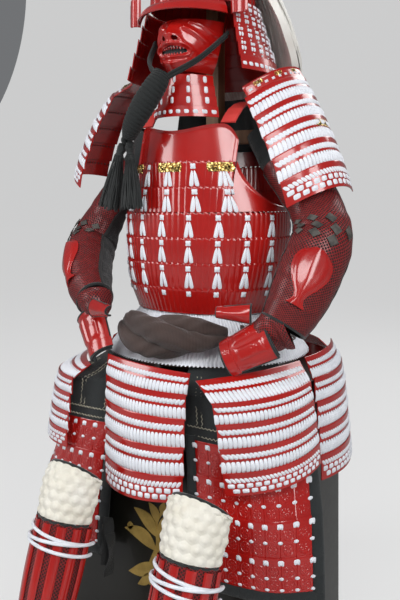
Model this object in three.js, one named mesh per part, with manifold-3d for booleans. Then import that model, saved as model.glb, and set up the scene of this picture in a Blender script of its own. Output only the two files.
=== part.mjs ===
// A suit of samurai armour, seated on its storage box.
// Millimetres, +Z up. The front faces -Y and the wearer's left is +X. The origin is on the floor,
// under the middle of the torso. Every piece is a closed wall or a closed solid, clear of its neighbours.
import * as THREE from "three";
import Module from "manifold-3d";
import { mergeVertices } from "three/addons/utils/BufferGeometryUtils.js";

const wasm = await Module();
wasm.setup();

// ---------------------------------------------------------------- driving sizes
const SIDES = [
  { name: "right", x: -1 },
  { name: "left", x: 1 },
];
const GAP = 0.5; // clearance between neighbouring pieces
const PLATE = 2.5; // lacquered plate
const CLOTH = 2.5; // quilted cloth

const WAIST_Z = 738; // lower edge of the cuirass
const RIB_Z = 950; // top of the rows that go all round the body
const CHEST_Z = 1057; // top of the laced chest rows
const COLLAR_Z = 1135; // top of the chest plate

const BOX = { width: 486, depth: 434, y: 11, top: 588, foot: 44, wall: 12, lid: 96, corner: 34 };
const HELMET = { y: -15, rim: 1396, a: 113, b: 132, high: 139 };

// ---------------------------------------------------------------- finishes
const finish = (color, roughness, metalness = 0) =>
  new THREE.MeshStandardMaterial({ color, roughness, metalness });
const redLacquer = finish(0xa30f0c, 0.25);
const whiteLace = finish(0xe9e9ee, 0.8);
const blackCloth = finish(0x10130f, 0.9);
const brownSilk = finish(0x3a2823, 0.7);
const blackLacquer = finish(0x12120f, 0.35);
const creamLeather = finish(0xe4e1d6, 0.8);
const blackCord = finish(0x0d1010, 0.85);
const whiteHair = finish(0xe6e2da, 0.7);
const goldBrass = finish(0xd6b84a, 0.3, 1);
const standWood = finish(0x6b4a2c, 0.6);

// ---------------------------------------------------------------- helpers
const rad = THREE.MathUtils.degToRad;
const lerp = THREE.MathUtils.lerp;
const vec = (x, y, z) => new THREE.Vector3(x, y, z);
const steps = (from, to, count) =>
  Array.from({ length: count + 1 }, (_, i) => lerp(from, to, i / count));

// The values of a table's named columns at `at`, a value of its `key` column.
function read(table, key, at) {
  const last = table.length - 1;
  let i = 0;
  while (i < last - 1 && at > table[i + 1][key]) i++;
  const low = table[i];
  const high = table[i + 1];
  const t = (at - low[key]) / (high[key] - low[key]);
  const row = {};
  for (const column of Object.keys(low)) row[column] = lerp(low[column], high[column], t);
  return row;
}

// A closed body from points and faces, turned so that its faces point out.
function body(points, faces) {
  let volume = 0;
  for (let i = 0; i < faces.length; i += 3) {
    const [a, b, c] = [points[faces[i]], points[faces[i + 1]], points[faces[i + 2]]];
    volume += a.dot(vec(0, 0, 0).crossVectors(b, c));
  }
  const index = volume < 0 ? faces.slice().reverse() : faces;
  const geometry = new THREE.BufferGeometry();
  geometry.setFromPoints(points);
  geometry.setIndex(index);
  return geometry;
}

// A wall of cloth or plate. place(u, v, lift) is a point of the form, moved out by lift;
// each row gives its v and the lifts of its outer and inner faces. A ring closes on itself.
function wall(place, columns, rows, ring = false) {
  const count = columns.length;
  const points = [];
  for (const face of ["out", "in"])
    for (const row of rows) for (const u of columns) points.push(place(u, row.v, row[face]));
  const at = (side, j, i) => (side * rows.length + j) * count + (i % count);
  const faces = [];
  const quad = (a, b, c, d) => faces.push(a, b, c, a, c, d);
  const spans = ring ? count : count - 1;
  const top = rows.length - 1;
  for (let i = 0; i < spans; i++) {
    for (let j = 0; j < top; j++) {
      quad(at(0, j, i), at(0, j, i + 1), at(0, j + 1, i + 1), at(0, j + 1, i));
      quad(at(1, j, i), at(1, j + 1, i), at(1, j + 1, i + 1), at(1, j, i + 1));
    }
    quad(at(1, 0, i), at(1, 0, i + 1), at(0, 0, i + 1), at(0, 0, i));
    quad(at(0, top, i), at(0, top, i + 1), at(1, top, i + 1), at(1, top, i));
  }
  for (let j = 0; j < top && !ring; j++) {
    quad(at(0, j, 0), at(0, j + 1, 0), at(1, j + 1, 0), at(1, j, 0));
    quad(at(0, j, count - 1), at(1, j, count - 1), at(1, j + 1, count - 1), at(0, j + 1, count - 1));
  }
  return body(points, faces);
}

// A solid of round sections, closed by a flat cap at each end.
function rod(place, columns, levels) {
  const count = columns.length;
  const points = [];
  for (const v of levels) for (const u of columns) points.push(place(u, v, 0));
  const faces = [];
  const top = levels.length - 1;
  for (let i = 0; i < count; i++) {
    const n = (i + 1) % count;
    for (let j = 0; j < top; j++) {
      const [a, b] = [j * count, (j + 1) * count];
      faces.push(a + i, a + n, b + n, a + i, b + n, b + i);
    }
  }
  for (let i = 1; i < count - 1; i++) {
    faces.push(0, i + 1, i);
    faces.push(top * count, top * count + i, top * count + i + 1);
  }
  return body(points, faces);
}

// A point round the torso. The angle is 0 at the front, and grows towards the wearer's left.
function oval(degrees, z, { a, front, back, y = 0 }, lift = 0) {
  const [s, c] = [Math.sin(rad(degrees)), Math.cos(rad(degrees))];
  const b = c > 0 ? front : back;
  return vec((a + lift) * s, y - (b + lift) * c, z);
}

// The form swept along a table of stations: x, y, z and the half sizes wide and deep.
// `over` is the direction that the section's deep side faces.
function sweep(stations, over) {
  const centre = new THREE.CatmullRomCurve3(stations.map((s) => vec(s.x, s.y, s.z)), false, "centripetal");
  const last = stations.length - 1;
  const rows = stations.map((s, i) => ({ at: i, wide: s.wide, deep: s.deep }));
  return (u, v, lift) => {
    const along = centre.getTangent(v / last);
    const side = vec(0, 0, 0).crossVectors(along, over).normalize();
    const out = vec(0, 0, 0).crossVectors(side, along).normalize();
    const { wide, deep } = read(rows, "at", v);
    const angle = 2 * Math.PI * u;
    return centre
      .getPoint(v / last)
      .addScaledVector(side, (wide + lift) * Math.cos(angle))
      .addScaledVector(out, (deep + lift) * Math.sin(angle));
  };
}

const ringColumns = (count) => steps(0, 1, count).slice(0, count);

// Overlapping lames from the hem up: the top edge of each stands out by `lip` over the one above it.
function lames(count, low, high, lip, thick) {
  const pitch = (high - low) / count;
  const ledge = pitch * 0.02;
  const rows = [];
  for (let k = 0; k < count; k++) {
    rows.push({ v: low + k * pitch + (k ? ledge : 0), out: 0, in: -thick });
    rows.push({ v: low + (k + 1) * pitch, out: lip, in: -thick });
  }
  return rows;
}

// The same lames, measured as a share of the way down from the top edge.
const hanging = (count, lip, thick) =>
  lames(count, -1, 0, lip, thick).map((r) => ({ ...r, v: Math.max(0, -r.v) }));

const evenRows = (levels, out, inner) => levels.map((v) => ({ v, out, in: inner }));

function solidOf(geometry) {
  const bare = geometry.clone();
  for (const name of ["normal", "uv"]) bare.deleteAttribute(name);
  const merged = mergeVertices(bare, 1e-3);
  return new wasm.Manifold(
    new wasm.Mesh({
      numProp: 3,
      vertProperties: merged.getAttribute("position").array,
      triVerts: new Uint32Array(merged.index.array),
    }),
  );
}

function geometryOf(solid) {
  const mesh = solid.getMesh();
  const geometry = new THREE.BufferGeometry();
  geometry.setAttribute("position", new THREE.BufferAttribute(mesh.vertProperties, 3));
  geometry.setIndex(new THREE.BufferAttribute(mesh.triVerts, 1));
  return geometry;
}

const cut = (geometry, ...tools) =>
  geometryOf(tools.reduce((left, tool) => left.subtract(solidOf(tool)), solidOf(geometry)));
const join = (first, ...others) =>
  geometryOf(others.reduce((sum, other) => sum.add(solidOf(other)), solidOf(first)));
const block = (x0, x1, y0, y1, z0, z1) =>
  new THREE.BoxGeometry(x1 - x0, y1 - y0, z1 - z0).translate((x0 + x1) / 2, (y0 + y1) / 2, (z0 + z1) / 2);

const armour = new THREE.Group();
function add(name, geometry, material) {
  const mesh = new THREE.Mesh(geometry, material);
  mesh.name = name;
  armour.add(mesh);
}

// ---------------------------------------------------------------- box and stand
{
  // A point of the box's rounded outline, moved out by `grow`; six points turn each corner.
  const [halfWide, halfDeep] = [BOX.width / 2 - BOX.corner, BOX.depth / 2 - BOX.corner];
  const CORNER_STEPS = 4;
  const outline = (i, z, grow) => {
    const turn = ((Math.floor(i / CORNER_STEPS) + (i % CORNER_STEPS) / (CORNER_STEPS - 1)) * Math.PI) / 2;
    const middle = ((Math.floor(i / CORNER_STEPS) + 0.5) * Math.PI) / 2;
    const r = BOX.corner + grow;
    return vec(
      halfWide * Math.sign(Math.cos(middle)) + r * Math.cos(turn),
      BOX.y + halfDeep * Math.sign(Math.sin(middle)) + r * Math.sin(turn),
      z,
    );
  };
  const corners = Array.from({ length: 4 * CORNER_STEPS }, (_, i) => i);
  const shell = (rows) => wall(outline, corners, rows, true);
  const slab = (grow, low, high) => rod((i, z) => outline(i, z, grow), corners, [low, high]);
  const seam = BOX.top - BOX.lid;
  const { wall: thick, foot } = BOX;
  const sides = shell([
    { v: 0, out: -14, in: -14 - thick },
    { v: foot * 0.25, out: -8, in: -8 - thick },
    { v: foot * 0.6, out: -3, in: -3 - thick },
    { v: foot, out: 0, in: -thick },
    { v: seam, out: 0, in: -thick },
  ]);
  add("box_body", join(sides, slab(-18, 0, 14)), blackLacquer);
  // The lid's rim comes down over the body.
  const rim = shell([
    { v: seam - 14, out: 4, in: GAP },
    { v: seam + GAP, out: 4, in: GAP },
    { v: seam + 2 * GAP, out: 4, in: -thick },
    { v: BOX.top - 6, out: 4, in: -thick },
  ]);
  const coverLevels = [BOX.top - thick, BOX.top - 4, BOX.top];
  const cover = rod((i, z) => outline(i, z, z > BOX.top - 3 ? 0 : 4), corners, coverLevels);
  add("box_lid", join(rim, cover), blackLacquer);
}

const POST = { y: 40, half: 16, top: 1486 };
{
  const { y, half, top } = POST;
  const floor = BOX.top + GAP;
  const shoulder = { z: 1118, reach: 118, half: 15 };
  const hip = { z: 700, reach: 130, half: 14 };
  const foot = { reach: 110, high: 18 };
  add(
    "stand_frame",
    join(
      block(-half, half, y - half, y + half, floor, top),
      ...[shoulder, hip].map(({ reach, z, half: deep }) =>
        block(-reach, reach, y - 12, y + 12, z - deep, z + deep)),
      block(-foot.reach, foot.reach, y - 70, y + 70, floor, floor + foot.high),
      block(-56, 56, y - 100, y + 14, 1446, 1458),
    ),
    standWood,
  );
}

// ---------------------------------------------------------------- cuirass
const TORSO = [
  { z: 738, a: 164, front: 132, back: 122 },
  { z: 790, a: 182, front: 144, back: 128 },
  { z: 860, a: 191, front: 149, back: 132 },
  { z: 950, a: 192, front: 147, back: 134 },
  { z: 1057, a: 156, front: 141, back: 132 },
  { z: 1175, a: 132, front: 133, back: 122 },
];
const torso = (degrees, z, lift) => oval(degrees, z, read(TORSO, "z", z), lift);
const BREAST_X = 120; // half width of the laced chest rows
const edgeAngle = (z, x) => THREE.MathUtils.radToDeg(Math.asin(x / read(TORSO, "z", z).a));
{
  const ribs = lames(4, WAIST_Z, RIB_Z, 2.5, PLATE);
  const seam = 91;
  const overlap = 0.6;
  add("cuirass_front", wall(torso, steps(-seam + overlap, seam - overlap, 14), ribs), redLacquer);
  add("cuirass_back", wall(torso, steps(seam, 360 - seam, 12), ribs), redLacquer);

  const chestRows = lames(2, RIB_Z + GAP + 0.3, CHEST_Z, 2.5, PLATE);
  const chest = (share, z, lift) => torso(share * edgeAngle(z, BREAST_X), z, lift);
  add("chest_rows", wall(chest, steps(-1, 1, 10), chestRows), redLacquer);
  const back = (share, z, lift) => torso(180 + share * edgeAngle(z, BREAST_X), z, lift);
  add("back_rows", wall(back, steps(-1, 1, 8), chestRows), redLacquer);

  // The chest plate dips at the throat and drops at its outer corners.
  const chestTop = (share) => {
    const rise = Math.sin((Math.PI / 2) * Math.min(1, Math.abs(share) / 0.72)) ** 2;
    const drop = Math.max(0, (Math.abs(share) - 0.72) / 0.28) ** 2;
    return COLLAR_Z - 14 + 14 * rise - 34 * drop;
  };
  const plateLow = CHEST_Z + GAP;
  const bib = (share, t, lift) => {
    const z = lerp(plateLow, chestTop(share), t);
    return torso(share * edgeAngle(z, Math.min(BREAST_X, 122)), z, lift);
  };
  add("chest_plate", wall(bib, steps(-1, 1, 16), [
    { v: 0, out: 0, in: -PLATE },
    { v: 0.9, out: 0, in: -PLATE },
    { v: 1, out: 5, in: -PLATE + 1 },
  ]), redLacquer);
  const nape = (share, t, lift) => {
    const z = lerp(plateLow, 1168 - 40 * share ** 4, t);
    return torso(180 + share * edgeAngle(z, 108), z, lift);
  };
  add("back_plate", wall(nape, steps(-1, 1, 10), evenRows([0, 1], 0, -PLATE)), redLacquer);

  // The plate under each arm is low at the armpit and rises to the chest and the back.
  for (const side of SIDES) {
    const start = edgeAngle(CHEST_Z, BREAST_X + 2);
    const low = RIB_Z + GAP + 0.3;
    const place = (degrees, t, lift) => {
      const toArmpit = Math.abs(degrees - 90) / (90 - start);
      const z = lerp(low, low + 9 + 96 * Math.min(1, toArmpit) ** 2.2, t);
      const least = edgeAngle(z, BREAST_X + 2);
      const held = 90 + Math.sign(degrees - 90) * toArmpit * (90 - least);
      const p = torso(held, z, lift);
      p.x *= side.x;
      return p;
    };
    add(`underarm_plate_${side.name}`, wall(place, steps(start, 180 - start, 14), [
      { v: 0, out: 0, in: -PLATE },
      { v: 0.86, out: 0, in: -PLATE },
      { v: 1, out: 4, in: -PLATE + 1 },
    ]), redLacquer);
  }

  // The shoulder straps go over the stand's shoulder bar.
  for (const side of SIDES) {
    const line = new THREE.CatmullRomCurve3([
      vec(92, 122, 1146), vec(96, 96, 1176), vec(100, 44, 1192),
      vec(104, -16, 1188), vec(106, -66, 1166), vec(104, -92, 1138),
    ]);
    const strap = (across, t, lift) => {
      const p = line.getPoint(t);
      const along = line.getTangent(t);
      const out = vec(0, -along.z, along.y).normalize();
      if (out.z < 0) out.negate();
      p.addScaledVector(out, lift);
      return vec(side.x * (p.x + across), p.y, p.z);
    };
    const rows = evenRows(steps(0, 1, 9), 2, -2);
    add(`shoulder_strap_${side.name}`, wall(strap, [-17, 0, 17], rows), redLacquer);
  }
}

// ---------------------------------------------------------------- waist lacing, sash and skirt
const HIPS = [
  { z: 642, a: 232, front: 206, back: 226 },
  { z: 668, a: 212, front: 174, back: 190 },
  { z: 700, a: 188, front: 150, back: 152 },
  { z: 736, a: 157, front: 126, back: 114 },
  { z: 756, a: 158, front: 127, back: 114 },
];
const hips = (u, z, lift) => oval(360 * u, z, read(HIPS, "z", z), lift);
add("waist_lacing", wall(hips, ringColumns(28), evenRows([644, 668, 700, 733, 750], 0, -2), true), whiteLace);
{
  const band = [
    { v: 676, out: 6, in: GAP },
    { v: 688, out: 11, in: GAP },
    { v: 702, out: 11, in: GAP },
    { v: 714, out: 6, in: GAP },
  ];
  const behind = (degrees, z, lift) => oval(degrees, z, read(HIPS, "z", z), lift);
  add("sash_band", wall(behind, steps(52, 308, 20), band), brownSilk);
  const twist = [
    { x: -104, y: -168, z: 706, wide: 18, deep: 9 },
    { x: -86, y: -190, z: 704, wide: 34, deep: 17 },
    { x: -58, y: -206, z: 703, wide: 46, deep: 25 },
    { x: 0, y: -212, z: 702, wide: 47, deep: 28 },
    { x: 56, y: -206, z: 703, wide: 42, deep: 25 },
    { x: 102, y: -186, z: 705, wide: 32, deep: 17 },
    { x: 130, y: -156, z: 707, wide: 20, deep: 10 },
  ];
  const roll = sweep(twist, vec(0, -1, 0));
  add("sash_twist", rod(roll, ringColumns(10), steps(0, 6, 12)), brownSilk);
}

// The skirt panels hang from the lacing and fall over the lid's edge. `out` and `outHem` are the distances
// of a panel's middle at its top and its hem, `drape` how early it falls straight; `bow` is its roundness.
const SKIRT = [
  { name: "skirt_front", faces: -3, out: 238, outHem: 289, drape: 0.5, along: 6, alongHem: 14,
    half: 104, halfHem: 96, bow: 14, bowHem: 38, top: 648, hem: 402, roll: -7, rollHem: -1 },
  { name: "skirt_front_left", faces: 55, out: 266, outHem: 354, drape: 0.2, along: -28, alongHem: -6,
    half: 114, halfHem: 104, bow: 16, bowHem: 42, top: 645, hem: 452, roll: 8, rollHem: 14 },
  { name: "skirt_front_right", mirror: true, faces: 55, out: 266, outHem: 354, drape: 0.22,
    along: -4, alongHem: 12, half: 108, halfHem: 100,
    bow: 16, bowHem: 50, top: 632, hem: 450, roll: 0, rollHem: 0 },
  { name: "skirt_side_left", faces: 93, out: 258, outHem: 308, drape: 0.38, along: 56, alongHem: 60,
    half: 92, halfHem: 100, bow: 16, bowHem: 26, top: 652, hem: 404, roll: 4, rollHem: 4 },
  { name: "skirt_side_right", mirror: true, faces: 93, out: 258, outHem: 308, drape: 0.38,
    along: 56, alongHem: 60, half: 92, halfHem: 100,
    bow: 16, bowHem: 26, top: 652, hem: 404, roll: 4, rollHem: 4 },
  { name: "skirt_back_left", faces: 150, out: 282, outHem: 358, drape: 0.26, along: 24, alongHem: 30,
    half: 90, halfHem: 100, bow: 16, bowHem: 24, top: 645, hem: 420, roll: 0, rollHem: 0 },
  { name: "skirt_back_right", mirror: true, faces: 150, out: 282, outHem: 358, drape: 0.26,
    along: 24, alongHem: 30, half: 90, halfHem: 100,
    bow: 16, bowHem: 24, top: 645, hem: 420, roll: 0, rollHem: 0 },
];
const LAME_COUNT = 5;
// The share of the height at which each lame of a skirt panel starts: the upper ones are drawn up closer.
const DRAWN_UP = [0, 0.16, 0.35, 0.57, 0.79, 1];
function skirtPoint(row, u, t, lift) {
  const fall = t ** row.drape;
  const k = Math.min(LAME_COUNT - 1, Math.floor(t * LAME_COUNT));
  const down = lerp(DRAWN_UP[k], DRAWN_UP[k + 1], t * LAME_COUNT - k);
  const [s, c] = [Math.sin(rad(row.faces)), Math.cos(rad(row.faces))];
  const bow = lerp(row.bow, row.bowHem, fall);
  const out = lerp(row.out, row.outHem, fall) + lift - bow * u * u;
  const along = lerp(row.along, row.alongHem, t) + u * lerp(row.half, row.halfHem, fall);
  const z = lerp(row.top, row.hem, down) + u * lerp(row.roll, row.rollHem, t);
  return vec((row.mirror ? -1 : 1) * (out * s + along * c), -out * c + along * s, z);
}
for (const row of SKIRT) {
  const place = (u, t, lift) => skirtPoint(row, u, t, lift);
  add(row.name, wall(place, steps(-1, 1, 6), hanging(LAME_COUNT, 3, PLATE)), redLacquer);
}

// ---------------------------------------------------------------- thigh apron
// Sections of the left half from its inner edge to its outer edge; the right half mirrors it.
// The cloth lies over the edge of the lid and hangs clear of the box below.
const APRON = [
  { z: 243, x0: 100, y0: -242, x1: 195, y1: -242, x2: 276, y2: -226, x3: 350, y3: -176 },
  { z: 327, x0: 96, y0: -239, x1: 191, y1: -240, x2: 271, y2: -225, x3: 342, y3: -160 },
  { z: 389, x0: 93, y0: -235, x1: 187, y1: -237, x2: 266, y2: -219, x3: 330, y3: -136 },
  { z: 451, x0: 88, y0: -230, x1: 180, y1: -232, x2: 254, y2: -206, x3: 306, y3: -96 },
  { z: 513, x0: 82, y0: -225, x1: 174, y1: -227, x2: 243, y2: -206, x3: 288, y3: -92 },
  { z: 560, x0: 76, y0: -220, x1: 170, y1: -221, x2: 242, y2: -205, x3: 272, y3: -98 },
  { z: 594, x0: 70, y0: -216, x1: 168, y1: -220, x2: 241, y2: -204, x3: 268, y3: -98 },
  { z: 606, x0: 66, y0: -200, x1: 150, y1: -202, x2: 214, y2: -180, x3: 240, y3: -92 },
  { z: 640, x0: 60, y0: -176, x1: 124, y1: -166, x2: 172, y2: -126, x3: 204, y3: -66 },
];
const PLATE_ROWS = { low: 265, high: 513 };
function apronPoint(share, z, lift) {
  const row = read(APRON, "z", z);
  const line = new THREE.CatmullRomCurve3(
    [0, 1, 2, 3].map((k) => vec(row[`x${k}`], row[`y${k}`], z)), false, "centripetal");
  const p = line.getPoint(share);
  const along = line.getTangent(share);
  return p.addScaledVector(vec(along.y, -along.x, 0).normalize(), lift);
}
for (const side of SIDES) {
  const place = (share, z, lift) => apronPoint(share, z, lift).multiply(vec(side.x, 1, 1));
  const levels = [APRON[0].z, PLATE_ROWS.low, ...APRON.slice(1).map((row) => row.z)];
  const columns = steps(0, 1, 12);
  add(`thigh_apron_${side.name}`, wall(place, columns, evenRows(levels, 0, -CLOTH)), blackCloth);
  const rows = lames(4, PLATE_ROWS.low, PLATE_ROWS.high, 2.2, 0)
    .map((r) => ({ v: r.v, out: GAP + 2.6 + r.out, in: GAP + 0.6 }));
  add(`thigh_plates_${side.name}`, wall(place, columns.slice(1, -1), rows), redLacquer);
}

// ---------------------------------------------------------------- sleeves and hands
// The sleeve's middle line from shoulder to wrist, for the wearer's left; x is mirrored on the right.
const ARM = {
  left: [
    { x: 150, y: 12, z: 1128, wide: 54, deep: 42 },
    { x: 190, y: 4, z: 1066, wide: 58, deep: 42 },
    { x: 238, y: -16, z: 1010, wide: 58, deep: 42 },
    { x: 281, y: -38, z: 955, wide: 56, deep: 44 },
    { x: 302, y: -62, z: 898, wide: 60, deep: 54 },
    { x: 290, y: -102, z: 832, wide: 61, deep: 55 },
    { x: 274, y: -132, z: 776, wide: 55, deep: 50 },
    { x: 256, y: -154, z: 732, wide: 46, deep: 38 },
  ],
  right: [
    { x: 150, y: 12, z: 1128, wide: 54, deep: 42 },
    { x: 186, y: 4, z: 1064, wide: 58, deep: 42 },
    { x: 224, y: -14, z: 1004, wide: 58, deep: 42 },
    { x: 256, y: -34, z: 944, wide: 56, deep: 44 },
    { x: 276, y: -62, z: 876, wide: 60, deep: 54 },
    { x: 258, y: -104, z: 828, wide: 60, deep: 54 },
    { x: 224, y: -142, z: 786, wide: 54, deep: 50 },
    { x: 184, y: -174, z: 754, wide: 44, deep: 38 },
  ],
};
const WRIST = 7;
// Where the fingers point, for each hand.
const FINGERS = { left: vec(-0.84, -0.26, -0.47).normalize(), right: vec(-0.55, -0.26, -0.79).normalize() };
const HAND_BACK = { left: vec(0.1, -0.86, 0.5), right: vec(0.5, -0.75, 0.43) };
for (const side of SIDES) {
  const arm = ARM[side.name];
  const mirror = (p) => p.multiply(vec(side.x, 1, 1));
  const limb = sweep(arm, vec(0.8, -0.6, 0));
  const tube = (u, v, lift) => mirror(limb(u, v, lift));
  add(`sleeve_${side.name}`,
    wall(tube, ringColumns(12), evenRows(steps(0, WRIST, 9), 0, -CLOTH), true), blackCloth);

  // The gourd-shaped forearm plate: broad at the elbow, waisted, with a small flare at the wrist.
  const GOURD = [
    { v: 4.6, half: 0.028 },
    { v: 4.78, half: 0.085 },
    { v: 5.1, half: 0.105 },
    { v: 5.5, half: 0.075 },
    { v: 5.85, half: 0.035 },
    { v: 6.0, half: 0.03 },
    { v: 6.22, half: 0.055 },
  ];
  const crown = 0.17; // share of a turn at which the section faces out
  const gourd = (u, v, lift) => tube(crown + u * read(GOURD, "v", v).half, v, lift + 7 * (1 - u * u));
  const gourdRows = GOURD.map(({ v }) => ({ v, out: 3.5, in: GAP + 0.6 }));
  add(`forearm_plate_${side.name}`, wall(gourd, steps(-1, 1, 6), gourdRows), redLacquer);

  // The hand plate arches over the back of the hand; the palm is open.
  const wrist = vec(arm[WRIST].x, arm[WRIST].y, arm[WRIST].z);
  const fingers = FINGERS[side.name];
  const handBack = HAND_BACK[side.name].clone().projectOnPlane(fingers).normalize();
  const thumbwards = vec(0, 0, 0).crossVectors(fingers, handBack).normalize();
  const hand = (u, t, lift) => {
    const half = lerp(45, 36, t);
    const arch = 30 + lift;
    const angle = rad(82) * u;
    return mirror(wrist.clone()
      .addScaledVector(fingers, 26 + 96 * t)
      .addScaledVector(thumbwards, (half + lift) * Math.sin(angle) - 12)
      .addScaledVector(handBack, arch * Math.cos(angle) + 6));
  };
  const handRows = evenRows(steps(0, 1, 4), 0, -PLATE);
  add(`hand_plate_${side.name}`, wall(hand, steps(-1, 1, 8), handRows), redLacquer);

  const thumbRoot = wrist.clone()
    .addScaledVector(fingers, 40).addScaledVector(thumbwards, 36).addScaledVector(handBack, 37);
  const thumbAlong = vec(-0.93, -0.34, 0.02).normalize();
  const thumbUp = vec(0, 0, 1).projectOnPlane(thumbAlong).normalize();
  const thumbOut = vec(0, 0, 0).crossVectors(thumbUp, thumbAlong).normalize();
  if (thumbOut.y > 0) thumbOut.negate();
  const thumb = (u, t, lift) => {
    const half = lerp(19, 10, t);
    const angle = rad(85) * u;
    return mirror(thumbRoot.clone()
      .addScaledVector(thumbAlong, 66 * t)
      .addScaledVector(thumbUp, (half + lift) * Math.sin(angle))
      .addScaledVector(thumbOut, (14 + lift) * Math.cos(angle)));
  };
  const thumbRows = evenRows(steps(0, 1, 3), 0, -PLATE);
  add(`thumb_plate_${side.name}`, wall(thumb, steps(-1, 1, 5), thumbRows), redLacquer);
}

// ---------------------------------------------------------------- shoulder guards
// Corners of each guard: front and rear, at the top and at the hem.
const GUARD = {
  left: {
    topFront: vec(126, -64, 1188), topRear: vec(202, 84, 1248),
    hemFront: vec(245, -112, 958), hemRear: vec(326, 52, 992), bow: 34, bowHem: 54,
    crown: { long: 32, inward: 0.35, up: 0.62 },
  },
  right: {
    topFront: vec(206, -74, 1214), topRear: vec(244, 88, 1244),
    hemFront: vec(274, -116, 1003), hemRear: vec(326, 52, 1034), bow: 28, bowHem: 46,
    crown: { long: 62, inward: 0.9, up: 0.4 },
  },
};
for (const side of SIDES) {
  const { topFront, topRear, hemFront, hemRear, bow, bowHem, crown: lean } = GUARD[side.name];
  const down = hemFront.clone().add(hemRear).sub(topFront).sub(topRear).normalize();
  const back = topRear.clone().sub(topFront).normalize();
  const out = vec(0, 0, 0).crossVectors(down, back).normalize();
  if (out.x < 0) out.negate();
  const guard = (u, t, lift) => {
    const front = topFront.clone().lerp(hemFront, t);
    const rear = topRear.clone().lerp(hemRear, t);
    return front.lerp(rear, (1 + u) / 2)
      .addScaledVector(out, lift + lerp(bow, bowHem, t ** 0.6) * (1 - u * u) + 48 * t * (1 - t))
      .multiply(vec(side.x, 1, 1));
  };
  add(`shoulder_guard_${side.name}`, wall(guard, steps(-1, 1, 8), hanging(LAME_COUNT, 3, PLATE)), redLacquer);
  // The crown plate leans in over the shoulder.
  const crown = (u, h, lift) =>
    guard(u * 0.94, 0, lift + 1).add(vec(-side.x * lean.inward * h, 0, lean.up * h + 1));
  const crownRows = evenRows(steps(0, lean.long, 2), 0, -PLATE);
  add(`shoulder_crown_${side.name}`, wall(crown, steps(-1, 1, 8), crownRows), redLacquer);
}

// ---------------------------------------------------------------- helmet
const SKULL = [
  { z: 0, share: 1 },
  { z: 45, share: 0.965 },
  { z: 85, share: 0.83 },
  { z: 115, share: 0.6 },
  { z: 132, share: 0.36 },
  { z: 139, share: 0.1 },
];
{
  const place = (u, rise, lift) => {
    const { share } = read(SKULL, "z", rise);
    const angle = 2 * Math.PI * u;
    return vec(
      (HELMET.a * share + lift) * Math.sin(angle),
      HELMET.y - (HELMET.b * share + lift) * Math.cos(angle),
      HELMET.rim + rise + lift * (1 - share),
    );
  };
  const skullRows = evenRows(SKULL.map((r) => r.z), 0, -PLATE);
  add("helmet_bowl", wall(place, ringColumns(16), skullRows, true), redLacquer);
  const finial = [[5, 0], [20, 0], [20, 3], [12, 7], [10, 13], [7, 16], [5, 16], [5, 0]];
  const lathe = new THREE.LatheGeometry(finial.map(([r, z]) => new THREE.Vector2(r, z)), 12);
  lathe.rotateX(Math.PI / 2).translate(0, HELMET.y, HELMET.rim + HELMET.high + 1);
  add("helmet_finial", geometryOf(solidOf(lathe)), goldBrass);

  const visor = (degrees, t, lift) => {
    const flat = Math.cos(rad(degrees));
    const reach = lerp(6 + 34 * flat, 1.2, t);
    const drop = lerp(30 + 12 * (1 - flat), 0, t) - lift;
    const swell = 7 * Math.sin(Math.PI * t);
    const row = { a: HELMET.a, front: HELMET.b, back: HELMET.b, y: HELMET.y };
    return oval(degrees, HELMET.rim - 1 - drop + swell, row, reach + swell * 0.4);
  };
  add("helmet_visor", wall(visor, steps(-54, 54, 12), evenRows(steps(0, 1, 4), 0, -PLATE)), redLacquer);
}

// The neck guard: lames that flare from the bowl's rim, open at the face.
const NECK = [
  { z: 1246, a: 166, front: 182, back: 188 },
  { z: 1400, a: 119, front: 138, back: 138 },
];
const FACE_ANGLE = 60;
{
  const place = (degrees, z, lift) => oval(degrees, z, { ...read(NECK, "z", z), y: HELMET.y }, lift);
  const rows = lames(5, NECK[0].z, NECK[1].z, 4.5, PLATE);
  add("neck_guard", wall(place, steps(FACE_ANGLE, 360 - FACE_ANGLE, 12), rows), redLacquer);
  for (const side of SIDES) {
    const turnback = (t, z, lift) => {
      const line = new THREE.QuadraticBezierCurve3(vec(110, -92, z), vec(126, -128, z), vec(148, -90, z));
      const along = line.getTangent(t);
      return line.getPoint(t).addScaledVector(vec(along.y, -along.x, 0), lift).multiply(vec(side.x, 1, 1));
    };
    const rows = [1362, 1372, 1400, 1424].map((v) => ({ v, out: 0, in: -PLATE }));
    add(`turnback_${side.name}`, wall(turnback, steps(0.12, 1, 6), rows), redLacquer);
  }
}

// A mantle of hair hangs from the crown, down the back of the helmet.
const HAIR = [
  { z: 1120, a: 214, b: 222, open: 142, thick: 18 },
  { z: 1200, a: 222, b: 232, open: 134, thick: 26 },
  { z: 1290, a: 214, b: 226, open: 116, thick: 30 },
  { z: 1400, a: 178, b: 196, open: 100, thick: 32 },
  { z: 1480, a: 138, b: 158, open: 96, thick: 30 },
  { z: 1545, a: 76, b: 88, open: 92, thick: 24 },
  { z: 1566, a: 50, b: 60, open: 90, thick: 20 },
];
{
  const place = (share, z, lift) => {
    const row = read(HAIR, "z", z);
    const depth = lift ? -row.thick : 0;
    const form = { a: row.a, front: row.b, back: row.b, y: HELMET.y };
    return oval(180 + share * (180 - row.open), z, form, depth);
  };
  add("hair_mantle", wall(place, steps(-1, 1, 12), evenRows(HAIR.map((r) => r.z), 0, 1)), whiteHair);
}

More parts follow.
